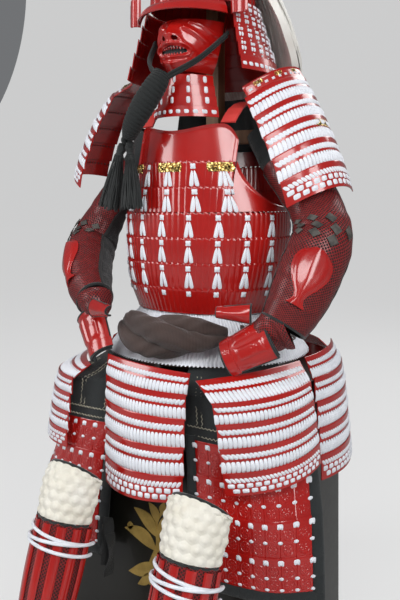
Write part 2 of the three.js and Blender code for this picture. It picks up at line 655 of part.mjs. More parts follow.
// ---------------------------------------------------------------- mask and throat guard
const FACE = [
  { z: 1246, a: 50, front: 124 },
  { z: 1262, a: 62, front: 136 },
  { z: 1290, a: 72, front: 139 },
  { z: 1315, a: 79, front: 138 },
  { z: 1345, a: 83, front: 132 },
  { z: 1358, a: 84, front: 124 },
];
{
  const place = (degrees, z, lift) => {
    const { a, front } = read(FACE, "z", z);
    const p = oval(degrees, z, { a, front, back: front, y: -12 }, lift);
    const nose = 20 * Math.exp(-((p.x / 15) ** 2)) * Math.max(0, 1 - Math.abs(z - 1322) / 34);
    const chin = 6 * Math.exp(-((p.x / 24) ** 2)) * Math.max(0, 1 - Math.abs(z - 1258) / 16);
    p.y -= nose + chin;
    return p;
  };
  const mask = wall(place, steps(-68, 68, 14), evenRows(steps(1246, 1358, 8), 0, -PLATE));
  const mouth = block(-31, 31, -200, -90, 1279, 1297);
  const nostrils = SIDES.map((side) =>
    new THREE.CylinderGeometry(6.5, 6.5, 120, 8).translate(side.x * 12, -150, 1317));
  add("face_mask", cut(mask, mouth, ...nostrils), redLacquer);

  const THROAT = [
    { z: 1150, a: 100, front: 152 },
    { z: 1241, a: 72, front: 134 },
  ];
  const bib = (degrees, z, lift) => {
    const { a, front } = read(THROAT, "z", z);
    return oval(degrees, z, { a, front, back: front }, lift);
  };
  add("throat_guard", wall(bib, steps(-54, 54, 10), lames(4, 1150, 1241, 2.5, PLATE)), redLacquer);
}

// ---------------------------------------------------------------- chin cord and tassels
{
  const cordSide = (x, from, via, to) => [
    { ...from, x: x * from.x, wide: 8, deep: 6 },
    { ...via, x: x * via.x, wide: 8, deep: 6 },
    { ...to, x: x * to.x, wide: 8, deep: 7 },
  ];
  const hook = { x: 92, y: -72, z: 1328 };
  const strands = SIDES.map((side) => {
    const line = cordSide(side.x, hook, { x: 62, y: -140, z: 1268 }, { x: 6, y: -183, z: 1226 });
    return rod(sweep(line, vec(side.x, -1, 0)), ringColumns(8), steps(0, 2, 6));
  });
  const wrap = [
    { x: -2, y: -178, z: 1240, wide: 18, deep: 13 },
    { x: -14, y: -186, z: 1214, wide: 24, deep: 20 },
    { x: -44, y: -190, z: 1172, wide: 26, deep: 22 },
    { x: -74, y: -186, z: 1132, wide: 21, deep: 19 },
    { x: -90, y: -178, z: 1108, wide: 14, deep: 13 },
  ];
  const wound = rod(sweep(wrap, vec(0, -1, 0)), ringColumns(10), steps(0, 4, 8));
  add("chin_cord", join(wound, ...strands), blackCord);
  const tassels = [
    { name: "tassel_outer", x: -116, y: -166, lowX: -158, lowY: -158 },
    { name: "tassel_inner", x: -92, y: -170, lowX: -88, lowY: -170 },
  ];
  for (const { name, x, y, lowX, lowY } of tassels) {
    const stations = [
      { x, y, z: 1098, wide: 7, deep: 7 },
      { x, y, z: 1088, wide: 11, deep: 10 },
      { x: lerp(x, lowX, 0.2), y, z: 1070, wide: 9, deep: 8 },
      { x: lerp(x, lowX, 0.6), y: lerp(y, lowY, 0.6), z: 1010, wide: 20, deep: 12 },
      { x: lowX, y: lowY, z: 955, wide: 27, deep: 13 },
    ];
    add(name, rod(sweep(stations, vec(0, -1, 0)), ringColumns(10), steps(0, 4, 8)), blackCord);
  }
}

// ---------------------------------------------------------------- shin guards
const SHIN = {
  left: { top: vec(168, -300, 456), foot: vec(140, -438, 14) },
  right: { top: vec(-119, -300, 462), foot: vec(-144, -438, 14) },
};
for (const side of SIDES) {
  const { top, foot } = SHIN[side.name];
  const down = foot.clone().sub(top);
  const long = down.length();
  down.normalize();
  const across = vec(1, 0, 0).addScaledVector(down, -down.x).normalize();
  const out = vec(0, 0, 0).crossVectors(across, down).normalize();
  if (out.y > 0) out.negate();
  const wrapRound = (table) => (degrees, v, lift) => {
    const { wide, deep } = read(table, "v", v);
    return top.clone()
      .addScaledVector(down, v)
      .addScaledVector(across, (wide + lift) * Math.sin(rad(degrees)))
      .addScaledVector(out, (deep + lift) * Math.cos(rad(degrees)));
  };
  const calf = [
    { v: 118, wide: 56, deep: 54 },
    { v: 220, wide: 55, deep: 53 },
    { v: 340, wide: 46, deep: 46 },
    { v: long - 4, wide: 42, deep: 44 },
  ];
  add(`shin_guard_${side.name}`,
    wall(wrapRound(calf), steps(-105, 105, 14), evenRows([119, 220, 340, long - 12], 0, -PLATE)), redLacquer);
  const knee = [
    { v: 10, wide: 50, deep: 44 },
    { v: 36, wide: 57, deep: 54 },
    { v: 78, wide: 58, deep: 56 },
    { v: 114, wide: 53, deep: 53 },
  ];
  const pad = (share, v, lift) => {
    const drop = v < 20 ? 22 * share ** 2 : 0; // the top edge is an arch
    return wrapRound(knee)(share * 92, v + drop, lift);
  };
  add(`knee_pad_${side.name}`, wall(pad, steps(-1, 1, 10), evenRows([114, 78, 44, 10], 6, 0)), creamLeather);

  const post = new THREE.CylinderGeometry(11, 11, long - 20, 10);
  post.applyQuaternion(new THREE.Quaternion().setFromUnitVectors(vec(0, 1, 0), down));
  const middle = top.clone().addScaledVector(down, (long - 20) / 2 + 20);
  post.translate(middle.x, middle.y, middle.z);
  const base = new THREE.CylinderGeometry(62, 62, 12, 24).rotateX(Math.PI / 2).translate(foot.x, foot.y, 6);
  add(`shin_stand_${side.name}`, join(base, post), standWood);
}

export default armour;
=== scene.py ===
# %% [markdown]
# # Samurai armour on its storage box
#
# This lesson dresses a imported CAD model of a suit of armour. The CAD model fixes every size, so each new
# piece is made in the same place, from the same short tables of sizes. Lengths in the tables are in
# millimetres, and they become metres only when a mesh is filled in.
#
# A suit like this is made flat and then bent: small lacquered scales are laced side by side, and the
# finished strip is curved round the body. The lesson works in that order too. A plate, a lace or a stitch
# is modelled flat, repeated with an Array modifier, and then laid on a curved form.

# %% Load the frame
import math

import bpy
import numpy as np
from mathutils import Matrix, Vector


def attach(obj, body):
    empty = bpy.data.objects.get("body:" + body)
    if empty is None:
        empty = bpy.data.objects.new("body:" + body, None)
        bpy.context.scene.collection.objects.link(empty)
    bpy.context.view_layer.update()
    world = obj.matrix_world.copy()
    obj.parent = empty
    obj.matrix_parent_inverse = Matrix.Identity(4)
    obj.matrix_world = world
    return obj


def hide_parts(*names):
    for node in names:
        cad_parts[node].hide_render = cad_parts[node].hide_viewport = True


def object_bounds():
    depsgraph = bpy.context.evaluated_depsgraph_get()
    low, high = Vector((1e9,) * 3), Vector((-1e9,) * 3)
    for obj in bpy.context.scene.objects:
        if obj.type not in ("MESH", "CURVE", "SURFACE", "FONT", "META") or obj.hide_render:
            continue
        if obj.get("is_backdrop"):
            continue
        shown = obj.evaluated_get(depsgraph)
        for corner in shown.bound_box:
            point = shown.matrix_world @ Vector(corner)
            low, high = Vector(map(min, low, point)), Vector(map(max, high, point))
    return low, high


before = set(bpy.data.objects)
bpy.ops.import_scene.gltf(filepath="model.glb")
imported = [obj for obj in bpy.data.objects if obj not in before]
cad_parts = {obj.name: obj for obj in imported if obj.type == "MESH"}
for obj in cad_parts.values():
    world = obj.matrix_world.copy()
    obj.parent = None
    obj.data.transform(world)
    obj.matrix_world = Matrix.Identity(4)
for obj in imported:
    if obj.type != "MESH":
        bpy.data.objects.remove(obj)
cad_low, cad_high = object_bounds()
print("CAD box in metres:", tuple(round(v, 3) for v in cad_low), tuple(round(v, 3) for v in cad_high))

MM = 0.001
rng = np.random.default_rng(11)

# %% [markdown]
# Operators act on whatever is selected, and loading the frame leaves its nodes selected. So the first
# helpers empty the selection, pick one piece, and pick its faces or edges by a rule on their middles.
# That is the same as clicking them by hand, but it gives the same result on every run.

# %% Helpers for modelling
def nothing_selected():
    if bpy.context.object and bpy.context.object.mode != "OBJECT":
        bpy.ops.object.mode_set(mode="OBJECT")
    bpy.ops.object.select_all(action="DESELECT")


def use(piece):
    nothing_selected()
    piece.select_set(True)
    bpy.context.view_layer.objects.active = piece
    return piece


def named(name):
    piece = bpy.context.object
    piece.name = name
    piece.data.name = name
    return piece


def pick(piece, kind, test):
    """Opens edit mode with the faces, edges or vertices selected whose middle, in mm, passes the test."""
    use(piece)
    bpy.ops.object.mode_set(mode="EDIT")
    bpy.ops.mesh.select_mode(type=kind)
    bpy.ops.mesh.select_all(action="DESELECT")
    bpy.ops.object.mode_set(mode="OBJECT")
    mesh = piece.data
    place = np.array([v.co[:] for v in mesh.vertices]) / MM
    items = {"VERT": mesh.vertices, "EDGE": mesh.edges, "FACE": mesh.polygons}[kind]
    for item in items:
        corners = [item.index] if kind == "VERT" else list(item.vertices)
        item.select = bool(test(*place[corners].mean(axis=0)))
    bpy.ops.object.mode_set(mode="EDIT")


def done():
    bpy.ops.object.mode_set(mode="OBJECT")


def modify(piece, kind, **settings):
    """Adds one modifier and applies it."""
    use(piece)
    step = piece.modifiers.new(kind.title(), kind)
    for key, value in settings.items():
        setattr(step, key, value)
    bpy.ops.object.modifier_apply(modifier=step.name)
    return piece


def smooth(piece, degrees=40):
    use(piece)
    bpy.ops.object.shade_smooth_by_angle(angle=math.radians(degrees))
    return piece


def joined(name, pieces):
    use(pieces[0])
    for piece in pieces[1:]:
        piece.select_set(True)
    if len(pieces) > 1:
        bpy.ops.object.join()
    return named(name)


def coordinates(piece):
    flat = np.empty(len(piece.data.vertices) * 3)
    piece.data.vertices.foreach_get("co", flat)
    return flat.reshape(-1, 3)


def place_vertices(piece, points):
    piece.data.vertices.foreach_set("co", np.ascontiguousarray(points, float).ravel())
    piece.data.update()


def faces_out(piece):
    use(piece)
    bpy.ops.object.mode_set(mode="EDIT")
    bpy.ops.mesh.select_all(action="SELECT")
    bpy.ops.mesh.remove_doubles(threshold=1e-5)
    bpy.ops.mesh.normals_make_consistent(inside=False)
    bpy.ops.object.mode_set(mode="OBJECT")
    return piece


# %% [markdown]
# A form is a curved surface that a flat piece is laid on, such as the round of the cuirass. In Python it
# is a function: it takes a place across, a place down and a height above the surface, and gives a point.
# A flat grid is laid on one as a smith bends a laced strip round a stake.
#
# A plate or a sheet of cloth starts as a Grid primitive. Its rows and columns are first moved to where
# the detail is needed, then the grid is laid on its form, and Solidify gives it a real thickness.

# %% Lay flat pieces on curved forms
def sheet(name, form, across, down, thick=2.0, relief=None, ring=False, size=None, edge=0.0):
    """A wall on a form. `across` and `down` are the grid's lines, `relief` a height over the form in mm."""
    across, down = np.asarray(across, float), np.asarray(down, float)
    nothing_selected()
    bpy.ops.mesh.primitive_grid_add(x_subdivisions=len(across) - 1, y_subdivisions=len(down) - 1, size=2)
    piece = named(name)
    flat = coordinates(piece)
    i = np.rint((flat[:, 0] + 1) / 2 * (len(across) - 1)).astype(int)
    j = np.rint((flat[:, 1] + 1) / 2 * (len(down) - 1)).astype(int)
    u, v = across[i], down[j]
    if size:
        corner = np.empty(len(piece.data.loops), int)
        piece.data.loops.foreach_get("vertex_index", corner)
        share = np.stack([(u - u.min()) / np.ptp(u), (v - v.min()) / np.ptp(v)], axis=1)
        spread = share[corner] * np.array(size) * MM
        piece.data.uv_layers[0].data.foreach_set("uv", spread.ravel())
    lift = relief(u, v) if relief else 0 * u
    points = np.asarray(form(u, v, lift))
    place_vertices(piece, points * MM)
    # The grid must face away from the inside of its form.
    middle = len(u) // 2
    face = min(piece.data.polygons, key=lambda f: (f.center - piece.data.vertices[middle].co).length)
    near = np.array([np.asarray(form(u, v, lift + 1))[k] - points[k] for k in face.vertices]).mean(axis=0)
    if np.dot(near, face.normal) < 0:
        piece.data.flip_normals()
    if ring:
        use(piece)
        bpy.ops.object.mode_set(mode="EDIT")
        bpy.ops.mesh.select_all(action="SELECT")
        bpy.ops.mesh.remove_doubles(threshold=2e-6)
        done()
    if thick:
        modify(piece, "SOLIDIFY", thickness=thick * MM, offset=-1, use_rim=True)
    if edge:
        modify(piece, "BEVEL", width=edge * MM, segments=1, limit_method="ANGLE",
               angle_limit=math.radians(60))
    return smooth(piece)


def hermite(knots, values, at):
    """Reads a table along a smooth curve through its rows."""
    knots, values, at = np.asarray(knots, float), np.asarray(values, float), np.asarray(at, float)
    slope = np.gradient(values, knots, axis=0)
    i = np.clip(np.searchsorted(knots, at) - 1, 0, len(knots) - 2)
    span = knots[i + 1] - knots[i]
    t = (at - knots[i]) / span
    if values.ndim > 1:
        t, span = t[..., None], span[..., None]
    a, b = values[i], values[i + 1]
    return (
        a * (2 * t**3 - 3 * t**2 + 1) + b * (3 * t**2 - 2 * t**3)
        + slope[i] * span * (t**3 - 2 * t**2 + t) + slope[i + 1] * span * (t**3 - t**2)
    )


class Table:
    """Short tables of sizes with named columns; the first column says where each row stands."""

    def __init__(self, key, **columns):
        self.key, self.columns = np.array(key, float), columns

    def __call__(self, name, at):
        return hermite(self.key, self.columns[name], at)


def oval(degrees, z, a, front, back, y=0.0, lift=0.0):
    """A point round the body: 0 degrees is the front, and 90 the wearer's left."""
    s, c = np.sin(np.radians(degrees)), np.cos(np.radians(degrees))
    deep = np.where(c > 0, front, back)
    return np.stack(np.broadcast_arrays((a + lift) * s, y - (deep + lift) * c, z), axis=-1)


def unit(vectors):
    vectors = np.asarray(vectors, float)
    return vectors / np.maximum(np.linalg.norm(vectors, axis=-1, keepdims=True), 1e-9)


def sweep(stations, over, wide, deep):
    """A tube along stations: across is a share of a turn, down the station's number."""
    stations = np.asarray(stations, float)
    knots = np.arange(len(stations))
    over = np.asarray(over, float)

    def form(u, v, lift):
        u, v = np.broadcast_arrays(np.asarray(u, float), np.asarray(v, float))
        middle = hermite(knots, stations, v)
        ahead = unit(hermite(knots, stations, v + 0.01) - hermite(knots, stations, v - 0.01))
        side = unit(np.cross(ahead, over))
        out = unit(np.cross(side, ahead))
        turn = 2 * np.pi * u
        w = (hermite(knots, wide, v) + lift) * np.cos(turn)
        d = (hermite(knots, deep, v) + lift) * np.sin(turn)
        return middle + side * w[..., None] + out * d[..., None]

    return form


def mirrored(form, x=1):
    return lambda u, v, lift: np.asarray(form(u, v, lift)) * np.array([x, 1, 1])


SIDES = {"right": -1, "left": 1}
steps = np.linspace

# %% [markdown]
# Nearly every piece repeats: scales, laces, stitches, rings. The repeated thing is modelled once in a
# flat cell that is one unit wide and one unit high, with its thickness in mm. Two Array modifiers fill
# the rows and columns. A cell's number and the place inside it can then be read from the coordinates.

# %% Repeat a flat unit
def repeated(piece, columns, rows=1, step=(1, 1)):
    if columns > 1:
        modify(piece, "ARRAY", count=columns, use_relative_offset=False, use_constant_offset=True,
               constant_offset_displace=(step[0], 0, 0))
    if rows > 1:
        modify(piece, "ARRAY", count=rows, use_relative_offset=False, use_constant_offset=True,
               constant_offset_displace=(0, step[1], 0))
    return piece


def pad(name, wide, high, thick, across=3, down=3, round_by=2.4, at=(0.5, 0.5), low=0.0):
    """A pillow in the unit cell, such as the loop of a flat lace: a grid with a raised, rounded middle."""
    nothing_selected()
    bpy.ops.mesh.primitive_grid_add(x_subdivisions=across, y_subdivisions=down, size=2)
    piece = named(name)
    x, y, _ = coordinates(piece).T
    # Pull the corners in, then lift the middle.
    reach = np.maximum(np.abs(x), np.abs(y))
    ring = (np.abs(x) ** round_by + np.abs(y) ** round_by) ** (1 / round_by)
    pull = np.where(ring > 0, reach / np.maximum(ring, 1e-9), 1)
    pull = 1 + (pull - 1) * 0.8
    height = low + thick * np.sqrt(np.clip(1 - reach**2.6, 0, 1))
    place_vertices(piece, np.stack([at[0] + x * pull * wide / 2, at[1] + y * pull * high / 2, height],
                                   axis=1))
    return piece


def sloped(piece, per_row):
    """Leans a flat unit: its lower end moves sideways, as a stitch's does."""
    flat = coordinates(piece)
    flat[:, 0] += per_row * (flat[:, 1] - flat[:, 1].mean())
    place_vertices(piece, flat)
    return piece

# %% [markdown]
# # Finishes
#
# A finish is a node material. Written by hand, its maths is a long list of Math nodes and links, so one
# small class wraps a node's output and lets Python's own + - * / add the nodes. `1 - mask` works too,
# because the class has the reflected operators. Every other node comes from one method, `node`.

# %% A finish and its maths
class Value:
    """One value in a finish. Arithmetic on it adds Math nodes."""

    def __init__(self, finish, socket):
        self.finish, self.socket = finish, socket

    def maths(self, operation, *others, clamp=False):
        return self.finish.node("Math", {"operation": operation, "use_clamp": clamp}, [self, *others])

    def __add__(self, other):
        return self.maths("ADD", other)

    __radd__ = __add__

    def __mul__(self, other):
        return self.maths("MULTIPLY", other)

    __rmul__ = __mul__

    def __sub__(self, other):
        return self.maths("SUBTRACT", other)

    def __rsub__(self, other):
        return self.finish.node("Math", {"operation": "SUBTRACT"}, [other, self])

    def __truediv__(self, other):
        return self.maths("DIVIDE", other)

    def __pow__(self, other):
        return self.maths("POWER", other)

    def __abs__(self):
        return self.maths("ABSOLUTE")

    def clamped(self):
        return self.maths("ADD", 0.0, clamp=True)

    def at_most(self, other):
        return self.maths("MINIMUM", other)

    def at_least(self, other):
        return self.maths("MAXIMUM", other)

    def above(self, edge, soft):
        """0 below the edge and 1 above it, with a soft step."""
        return ((self - edge) / soft + 0.5).clamped()

    def waves(self, length):
        return (self * (2 * math.pi / length)).maths("SINE") * 0.5 + 0.5

    def cell(self, size):
        """The place inside a cell of that size, from -0.5 to 0.5."""
        return (self / size).maths("FRACT") - 0.5


class Finish:
    def __init__(self, name, colour, roughness, **sockets):
        self.material = bpy.data.materials.new(name)
        self.material.use_nodes = True
        self.tree = self.material.node_tree
        self.shader = self.tree.nodes["Principled BSDF"]
        self.set(**{"Base Color": (*colour, 1), "Roughness": roughness}, **sockets)

    def node(self, kind, settings=None, inputs=(), output=0):
        """Adds a node, sets its settings, then fills its sockets from values, numbers or colours."""
        made = self.tree.nodes.new("ShaderNode" + kind)
        for key, setting in (settings or {}).items():
            setattr(made, key, setting)
        pairs = inputs.items() if isinstance(inputs, dict) else enumerate(inputs)
        for key, given in pairs:
            self.plug(made.inputs[key], given)
        return Value(self, made.outputs[output])

    def plug(self, socket, given):
        if isinstance(given, Value):
            self.tree.links.new(given.socket, socket)
        else:
            socket.default_value = given

    def set(self, **sockets):
        for key, given in sockets.items():
            self.plug(self.shader.inputs[key.replace("_", " ")], given)
        return self

    def place(self):
        return self.node("TexCoord", output="Object")

    def own_map(self):
        return self.node("TexCoord", output="UV")

    def axes(self, vector):
        made = self.tree.nodes.new("ShaderNodeSeparateXYZ")
        self.plug(made.inputs[0], vector)
        return [Value(self, made.outputs[k]) for k in range(3)]

    def noise(self, scale, detail=3, vector=None, rough=0.55):
        sockets = {"Vector": vector or self.place(), "Scale": scale, "Detail": detail, "Roughness": rough}
        return self.node("TexNoise", {}, sockets)

    def mix(self, share, a, b):
        made = self.tree.nodes.new("ShaderNodeMix")
        made.data_type = "RGBA"
        colours = [x if isinstance(x, Value) else (*x, 1) for x in (a, b)]
        for index, given in zip((0, 6, 7), (share, *colours)):
            self.plug(made.inputs[index], given)
        return Value(self, made.outputs[2])

    def bump(self, height, depth_mm, strength=1.0):
        sockets = {"Strength": strength, "Distance": depth_mm * MM, "Height": height}
        return self.set(Normal=self.node("Bump", {}, sockets))


# %% [markdown]
# Red urushi lacquer is a deep, almost orange red under a clear coat. Its gloss is broken by a very
# shallow orange peel, by dust dulled patches and by a slightly darker tone where the coats are thick. One
# finish with low noise does all of that, because every plate of the suit came from the same workshop.

# %% Lacquers
def lacquer(name, colour, deep, roughness, coat=0.7, peel=0.05, **sockets):
    finish = Finish(name, colour, roughness, **sockets)
    drift = finish.noise(9, 3)
    finish.set(Base_Color=finish.mix(drift.above(0.5, 0.5), colour, deep))
    finish.set(Roughness=finish.noise(60, 4) * 0.12 + (roughness - 0.05))
    finish.set(Coat_Weight=coat, Coat_Roughness=0.07, Specular_IOR_Level=0.5)
    return finish.bump(finish.noise(140, 2), peel)


red = lacquer("red_lacquer", (0.43, 0.010, 0.007), (0.32, 0.006, 0.005), 0.22)
# A darker copy of the red lacquer: painted shade for the lace tips inside the shoulder guards.
shaded_red = lacquer("dark_red_lacquer", (0.10, 0.006, 0.006), (0.05, 0.004, 0.004), 0.4, coat=0.2)
black_lacquer = lacquer("black_lacquer", (0.0125, 0.0120, 0.0085), (0.0090, 0.0085, 0.0060), 0.34, coat=0.25)

# %% [markdown]
# The laces are flat silk braids. A braid's threads cross it at a slant from both edges and meet in the
# middle, so its bump is a row of chevrons. The pattern follows the lace's own map, in which one unit
# across is one lace.

# %% Laces and cords
def braid(name, colour, shade, roughness=0.75, chevrons=7, depth=0.35):
    finish = Finish(name, colour, roughness, Sheen_Weight=0.3, Sheen_Roughness=0.5)
    across, down, _ = finish.axes(finish.own_map())
    slant = down * chevrons + abs(across.cell(1.0)) * 2.0
    threads = slant.waves(1.0)
    soil = finish.noise(35, 4)
    finish.set(Base_Color=finish.mix((soil * 0.7 + threads * 0.3).above(0.5, 0.6), shade, colour))
    return finish.bump(threads + finish.noise(900, 2) * 0.5, depth, 0.7)


white_lace = braid("white_lace", (0.86, 0.88, 0.93), (0.66, 0.68, 0.74))
black_braid = braid("black_braid", (0.012, 0.014, 0.014), (0.005, 0.006, 0.006), 0.85)


def cord_finish(name, colour, shade, roughness, lay_mm, depth):
    """A twisted or woven cord; the map's second axis runs along it in metres."""
    finish = Finish(name, colour, roughness, Sheen_Weight=0.15, Sheen_Roughness=0.4)
    across, along, _ = finish.axes(finish.own_map())
    strands = (along + across * 0.5).waves(lay_mm * MM) * (along - across * 0.5).waves(lay_mm * MM)
    fluff = finish.noise(400, 4)
    finish.set(Base_Color=finish.mix((strands + fluff * 0.5).above(0.5, 0.8), shade, colour))
    return finish.bump(strands + fluff * 0.4, depth, 0.8)


black_cord = cord_finish("black_cord", (0.014, 0.017, 0.017), (0.003, 0.004, 0.004), 0.9, 2.4, 0.5)
tassel_thread = Finish("tassel_thread", (0.010, 0.012, 0.012), 0.8, Sheen_Weight=0.15)
tassel_thread.set(Base_Color=tassel_thread.mix(tassel_thread.noise(60, 3), (0.004, 0.005, 0.005),
                                               (0.02, 0.023, 0.023)))
tassel_thread.bump(tassel_thread.noise(700, 3), 0.4)

# %% [markdown]
# Cloth is drawn as its real weave. Two waves at right angles give the over and under of the threads, and
# a slow noise gives the uneven dye. The map is in metres, so the threads keep their size on every
# garment.

# %% Cloth
def cloth(name, colour, shade, thread_mm, depth, roughness=0.9, sheen=0.2, creases=0.0):
    finish = Finish(name, colour, roughness, Sheen_Weight=sheen, Sheen_Roughness=0.45)
    across, down, _ = finish.axes(finish.own_map())
    weave = across.waves(thread_mm * MM) * down.waves(thread_mm * MM)
    dye = finish.noise(18, 4)
    finish.set(Base_Color=finish.mix((dye * 0.7 + weave * 0.4).above(0.5, 0.7), shade, colour))
    height = weave + creases * finish.noise(22, 4, rough=0.6)
    return finish.bump(height, depth, 0.9)


black_cloth = cloth("black_cloth", (0.022, 0.027, 0.028), (0.009, 0.011, 0.012), 1.3, 0.35, creases=6.0)
brown_silk = cloth("brown_silk", (0.075, 0.036, 0.026), (0.022, 0.011, 0.009), 2.6, 0.8, 0.55, 0.25,
                   creases=2.0)
ribbon = cloth("black_ribbon", (0.012, 0.014, 0.014), (0.006, 0.007, 0.007), 1.0, 0.3, 0.7)

# %% [markdown]
# The sleeves and shins carry fine mail. Its rings are lacquered red and sewn to black cloth, so from a
# little way off it is a red net with black holes. Each ring is drawn from the distance to the middle of
# its cell, and a second, shifted set of rings links the first.

# %% Mail
def mail(name, ring_mm=7.4):
    finish = Finish(name, (0.2, 0.01, 0.01), 0.45)
    across, down, _ = finish.axes(finish.own_map())
    wobble = finish.noise(240, 2) * 0.0016
    size = ring_mm * MM

    def rings(right, low):
        x = (across + wobble + right * size).cell(size)
        y = (down + wobble + low * size * 0.9).cell(size * 0.9)
        middle = (x * x + y * y) ** 0.5
        return 1 - abs(middle - 0.36).above(0.105, 0.05)

    wire = rings(0, 0).at_least(rings(0.5, 0.5))
    worn = finish.noise(90, 3)
    colour = finish.mix(worn.above(0.5, 0.5), (0.30, 0.012, 0.012), (0.16, 0.008, 0.009))
    finish.set(Base_Color=finish.mix(wire, (0.008, 0.009, 0.009), colour))
    finish.set(Roughness=0.85 - wire * 0.5)
    return finish.bump(wire, 1.1, 1.0)


red_mail = mail("red_mail")

# %% [markdown]
# The fittings are gilded copper with pierced scrolls. Small rounded cells give the chased leaves, and the low
# places between them are painted dark as painted shade in the recesses.

# %% Metals, leather, hair, wood
gilt = Finish("gilt_copper", (0.80, 0.58, 0.18), 0.28, Metallic=1.0)
chased = gilt.node("TexVoronoi", {"feature": "SMOOTH_F1"}, {"Vector": gilt.place(), "Scale": 190,
                                                            "Smoothness": 0.3})
# The low places between the cells take a dark colour: painted shade in the recesses.
gilt.set(Base_Color=gilt.mix(chased.above(0.42, 0.3), (0.85, 0.66, 0.24), (0.20, 0.11, 0.03)))
gilt.set(Roughness=gilt.noise(80, 3) * 0.25 + 0.15)
gilt.bump(1 - chased, 1.2, 0.9)

gold_leaf = Finish("gold_leaf", (0.50, 0.34, 0.085), 0.48, Metallic=0.35)
leaf_wear = gold_leaf.noise(45, 5)
gold_leaf.set(Base_Color=gold_leaf.mix(leaf_wear.above(0.42, 0.3), (0.36, 0.24, 0.06), (0.54, 0.37, 0.10)))
gold_leaf.set(Roughness=leaf_wear * 0.25 + 0.35)
gold_leaf.bump(gold_leaf.noise(300, 3), 0.08)

doeskin = Finish("cream_doeskin", (0.78, 0.75, 0.66), 0.75, Sheen_Weight=0.2)
grain = doeskin.noise(320, 4)
doeskin.set(Base_Color=doeskin.mix((doeskin.noise(22, 3) * 0.8 + grain * 0.2).above(0.5, 0.5),
                                   (0.70, 0.66, 0.55), (0.82, 0.80, 0.73)))
doeskin.bump(grain, 0.3, 0.8)

thread = Finish("cream_thread", (0.72, 0.66, 0.48), 0.8)
thread.set(Base_Color=thread.mix(thread.noise(200, 2), (0.55, 0.50, 0.36), (0.80, 0.75, 0.58)))
thread.bump(thread.noise(1200, 2), 0.2)

hair = Finish("white_hair", (0.86, 0.85, 0.80), 0.5, Sheen_Weight=0.3)
across, down, _ = hair.axes(hair.own_map())
streak_map = hair.node("CombineXYZ", {}, [across * 900, down * 5, 0.0])
streaks = hair.node("TexNoise", {}, {"Vector": streak_map, "Scale": 1.0, "Detail": 3.0})
hair.set(Base_Color=hair.mix(streaks.above(0.5, 0.45), (0.60, 0.58, 0.52), (0.90, 0.89, 0.85)))
hair.bump(streaks, 1.4, 0.9)

wood = Finish("oiled_wood", (0.20, 0.10, 0.05), 0.5)
px, py, pz = wood.axes(wood.place())
grain_map = wood.node("CombineXYZ", {}, [px * 60, py * 60, pz * 4])
wood_grain = wood.node("TexNoise", {}, {"Vector": grain_map, "Scale": 1.0, "Detail": 5.0})
wood.set(Base_Color=wood.mix(wood_grain.above(0.5, 0.4), (0.12, 0.055, 0.025), (0.26, 0.14, 0.07)))
wood.set(Roughness=wood_grain * 0.3 + 0.35)
wood.bump(wood_grain, 0.2)

hinge_leather = Finish("hinge_leather", (0.045, 0.040, 0.036), 0.7)
hinge_leather.set(Base_Color=hinge_leather.mix(hinge_leather.noise(55, 5).above(0.5, 0.3),
                                               (0.02, 0.018, 0.016), (0.10, 0.09, 0.08)))
hinge_leather.bump(hinge_leather.noise(160, 4), 0.6)
print("finishes:", len(bpy.data.materials))


# %% [markdown]
# Every piece rides on the suit's one body and takes a finish. One helper does both together, and also hides the
# CAD nodes that the piece stands for.

# %% Dress a piece
def dressed(piece, finish, slot, *nodes):
    piece.data.materials.clear()
    piece.data.materials.append(finish.material)
    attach(piece, "root")
    if nodes:
        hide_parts(*nodes)
    print(f"{piece.name}: {len(piece.data.polygons)} faces")
    return piece


def node_finish(node, finish):
    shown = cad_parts[node]
    shown.data.materials.clear()
    shown.data.materials.append(finish.material)

# %% [markdown]
# # Camera, floor and light
#
# The view is from the wearer's left, 30 degrees off the front, at chest height. A sensor shift keeps the
# upright edges upright while the view reaches down to the box. The light is plain studio light: one large
# soft box on each side, a weaker one above, and a pale world, so that the lacquer has broad highlights.

# %% Camera, floor and light
nothing_selected()
bpy.ops.object.camera_add(
    location=(1.6 * math.sin(math.radians(30)), -1.6 * math.cos(math.radians(30)), 0.975),
    rotation=(math.radians(90), 0, math.radians(30)),
)
camera = bpy.context.object
camera.data.lens = 42
camera.data.sensor_width = 36
camera.data.shift_x = -7 / 600
camera.data.shift_y = -100 / 600
bpy.context.scene.camera = camera

nothing_selected()
bpy.ops.mesh.primitive_plane_add(size=60, location=(0, 0, 0))
floor = named("studio_floor")
pick(floor, "EDGE", lambda x, y, z: y > 29900)
bpy.ops.mesh.extrude_region_move(TRANSFORM_OT_translate={"value": (0, 0, 30)})
done()
pick(floor, "EDGE", lambda x, y, z: abs(y - 30000) < 1 and z < 1)
bpy.ops.mesh.bevel(offset=14, segments=32)
done()
smooth(floor, 60)
paper = Finish("studio_paper", (0.28, 0.28, 0.28), 0.9)
paper.set(Roughness=paper.noise(6, 2) * 0.1 + 0.85)
# The paper glows for the camera, and lights the suit less.
seen = paper.node("LightPath", output="Is Camera Ray")
paper.set(Emission_Color=paper.mix(seen, (0.16, 0.16, 0.16), (0.69, 0.69, 0.69)), Emission_Strength=0.80)
floor.data.materials.append(paper.material)
floor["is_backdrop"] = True


def soft_box(name, place, aim, size, power):
    nothing_selected()
    bpy.ops.object.light_add(type="AREA", location=place)
    light = bpy.context.object
    light.name = name
    light.data.shape = "RECTANGLE"
    light.data.size, light.data.size_y = size
    light.data.energy = power
    ahead = unit(np.array(aim, float) - np.array(place, float))
    light.rotation_euler = (math.acos(-ahead[2]), 0, math.atan2(-ahead[0], ahead[1]))


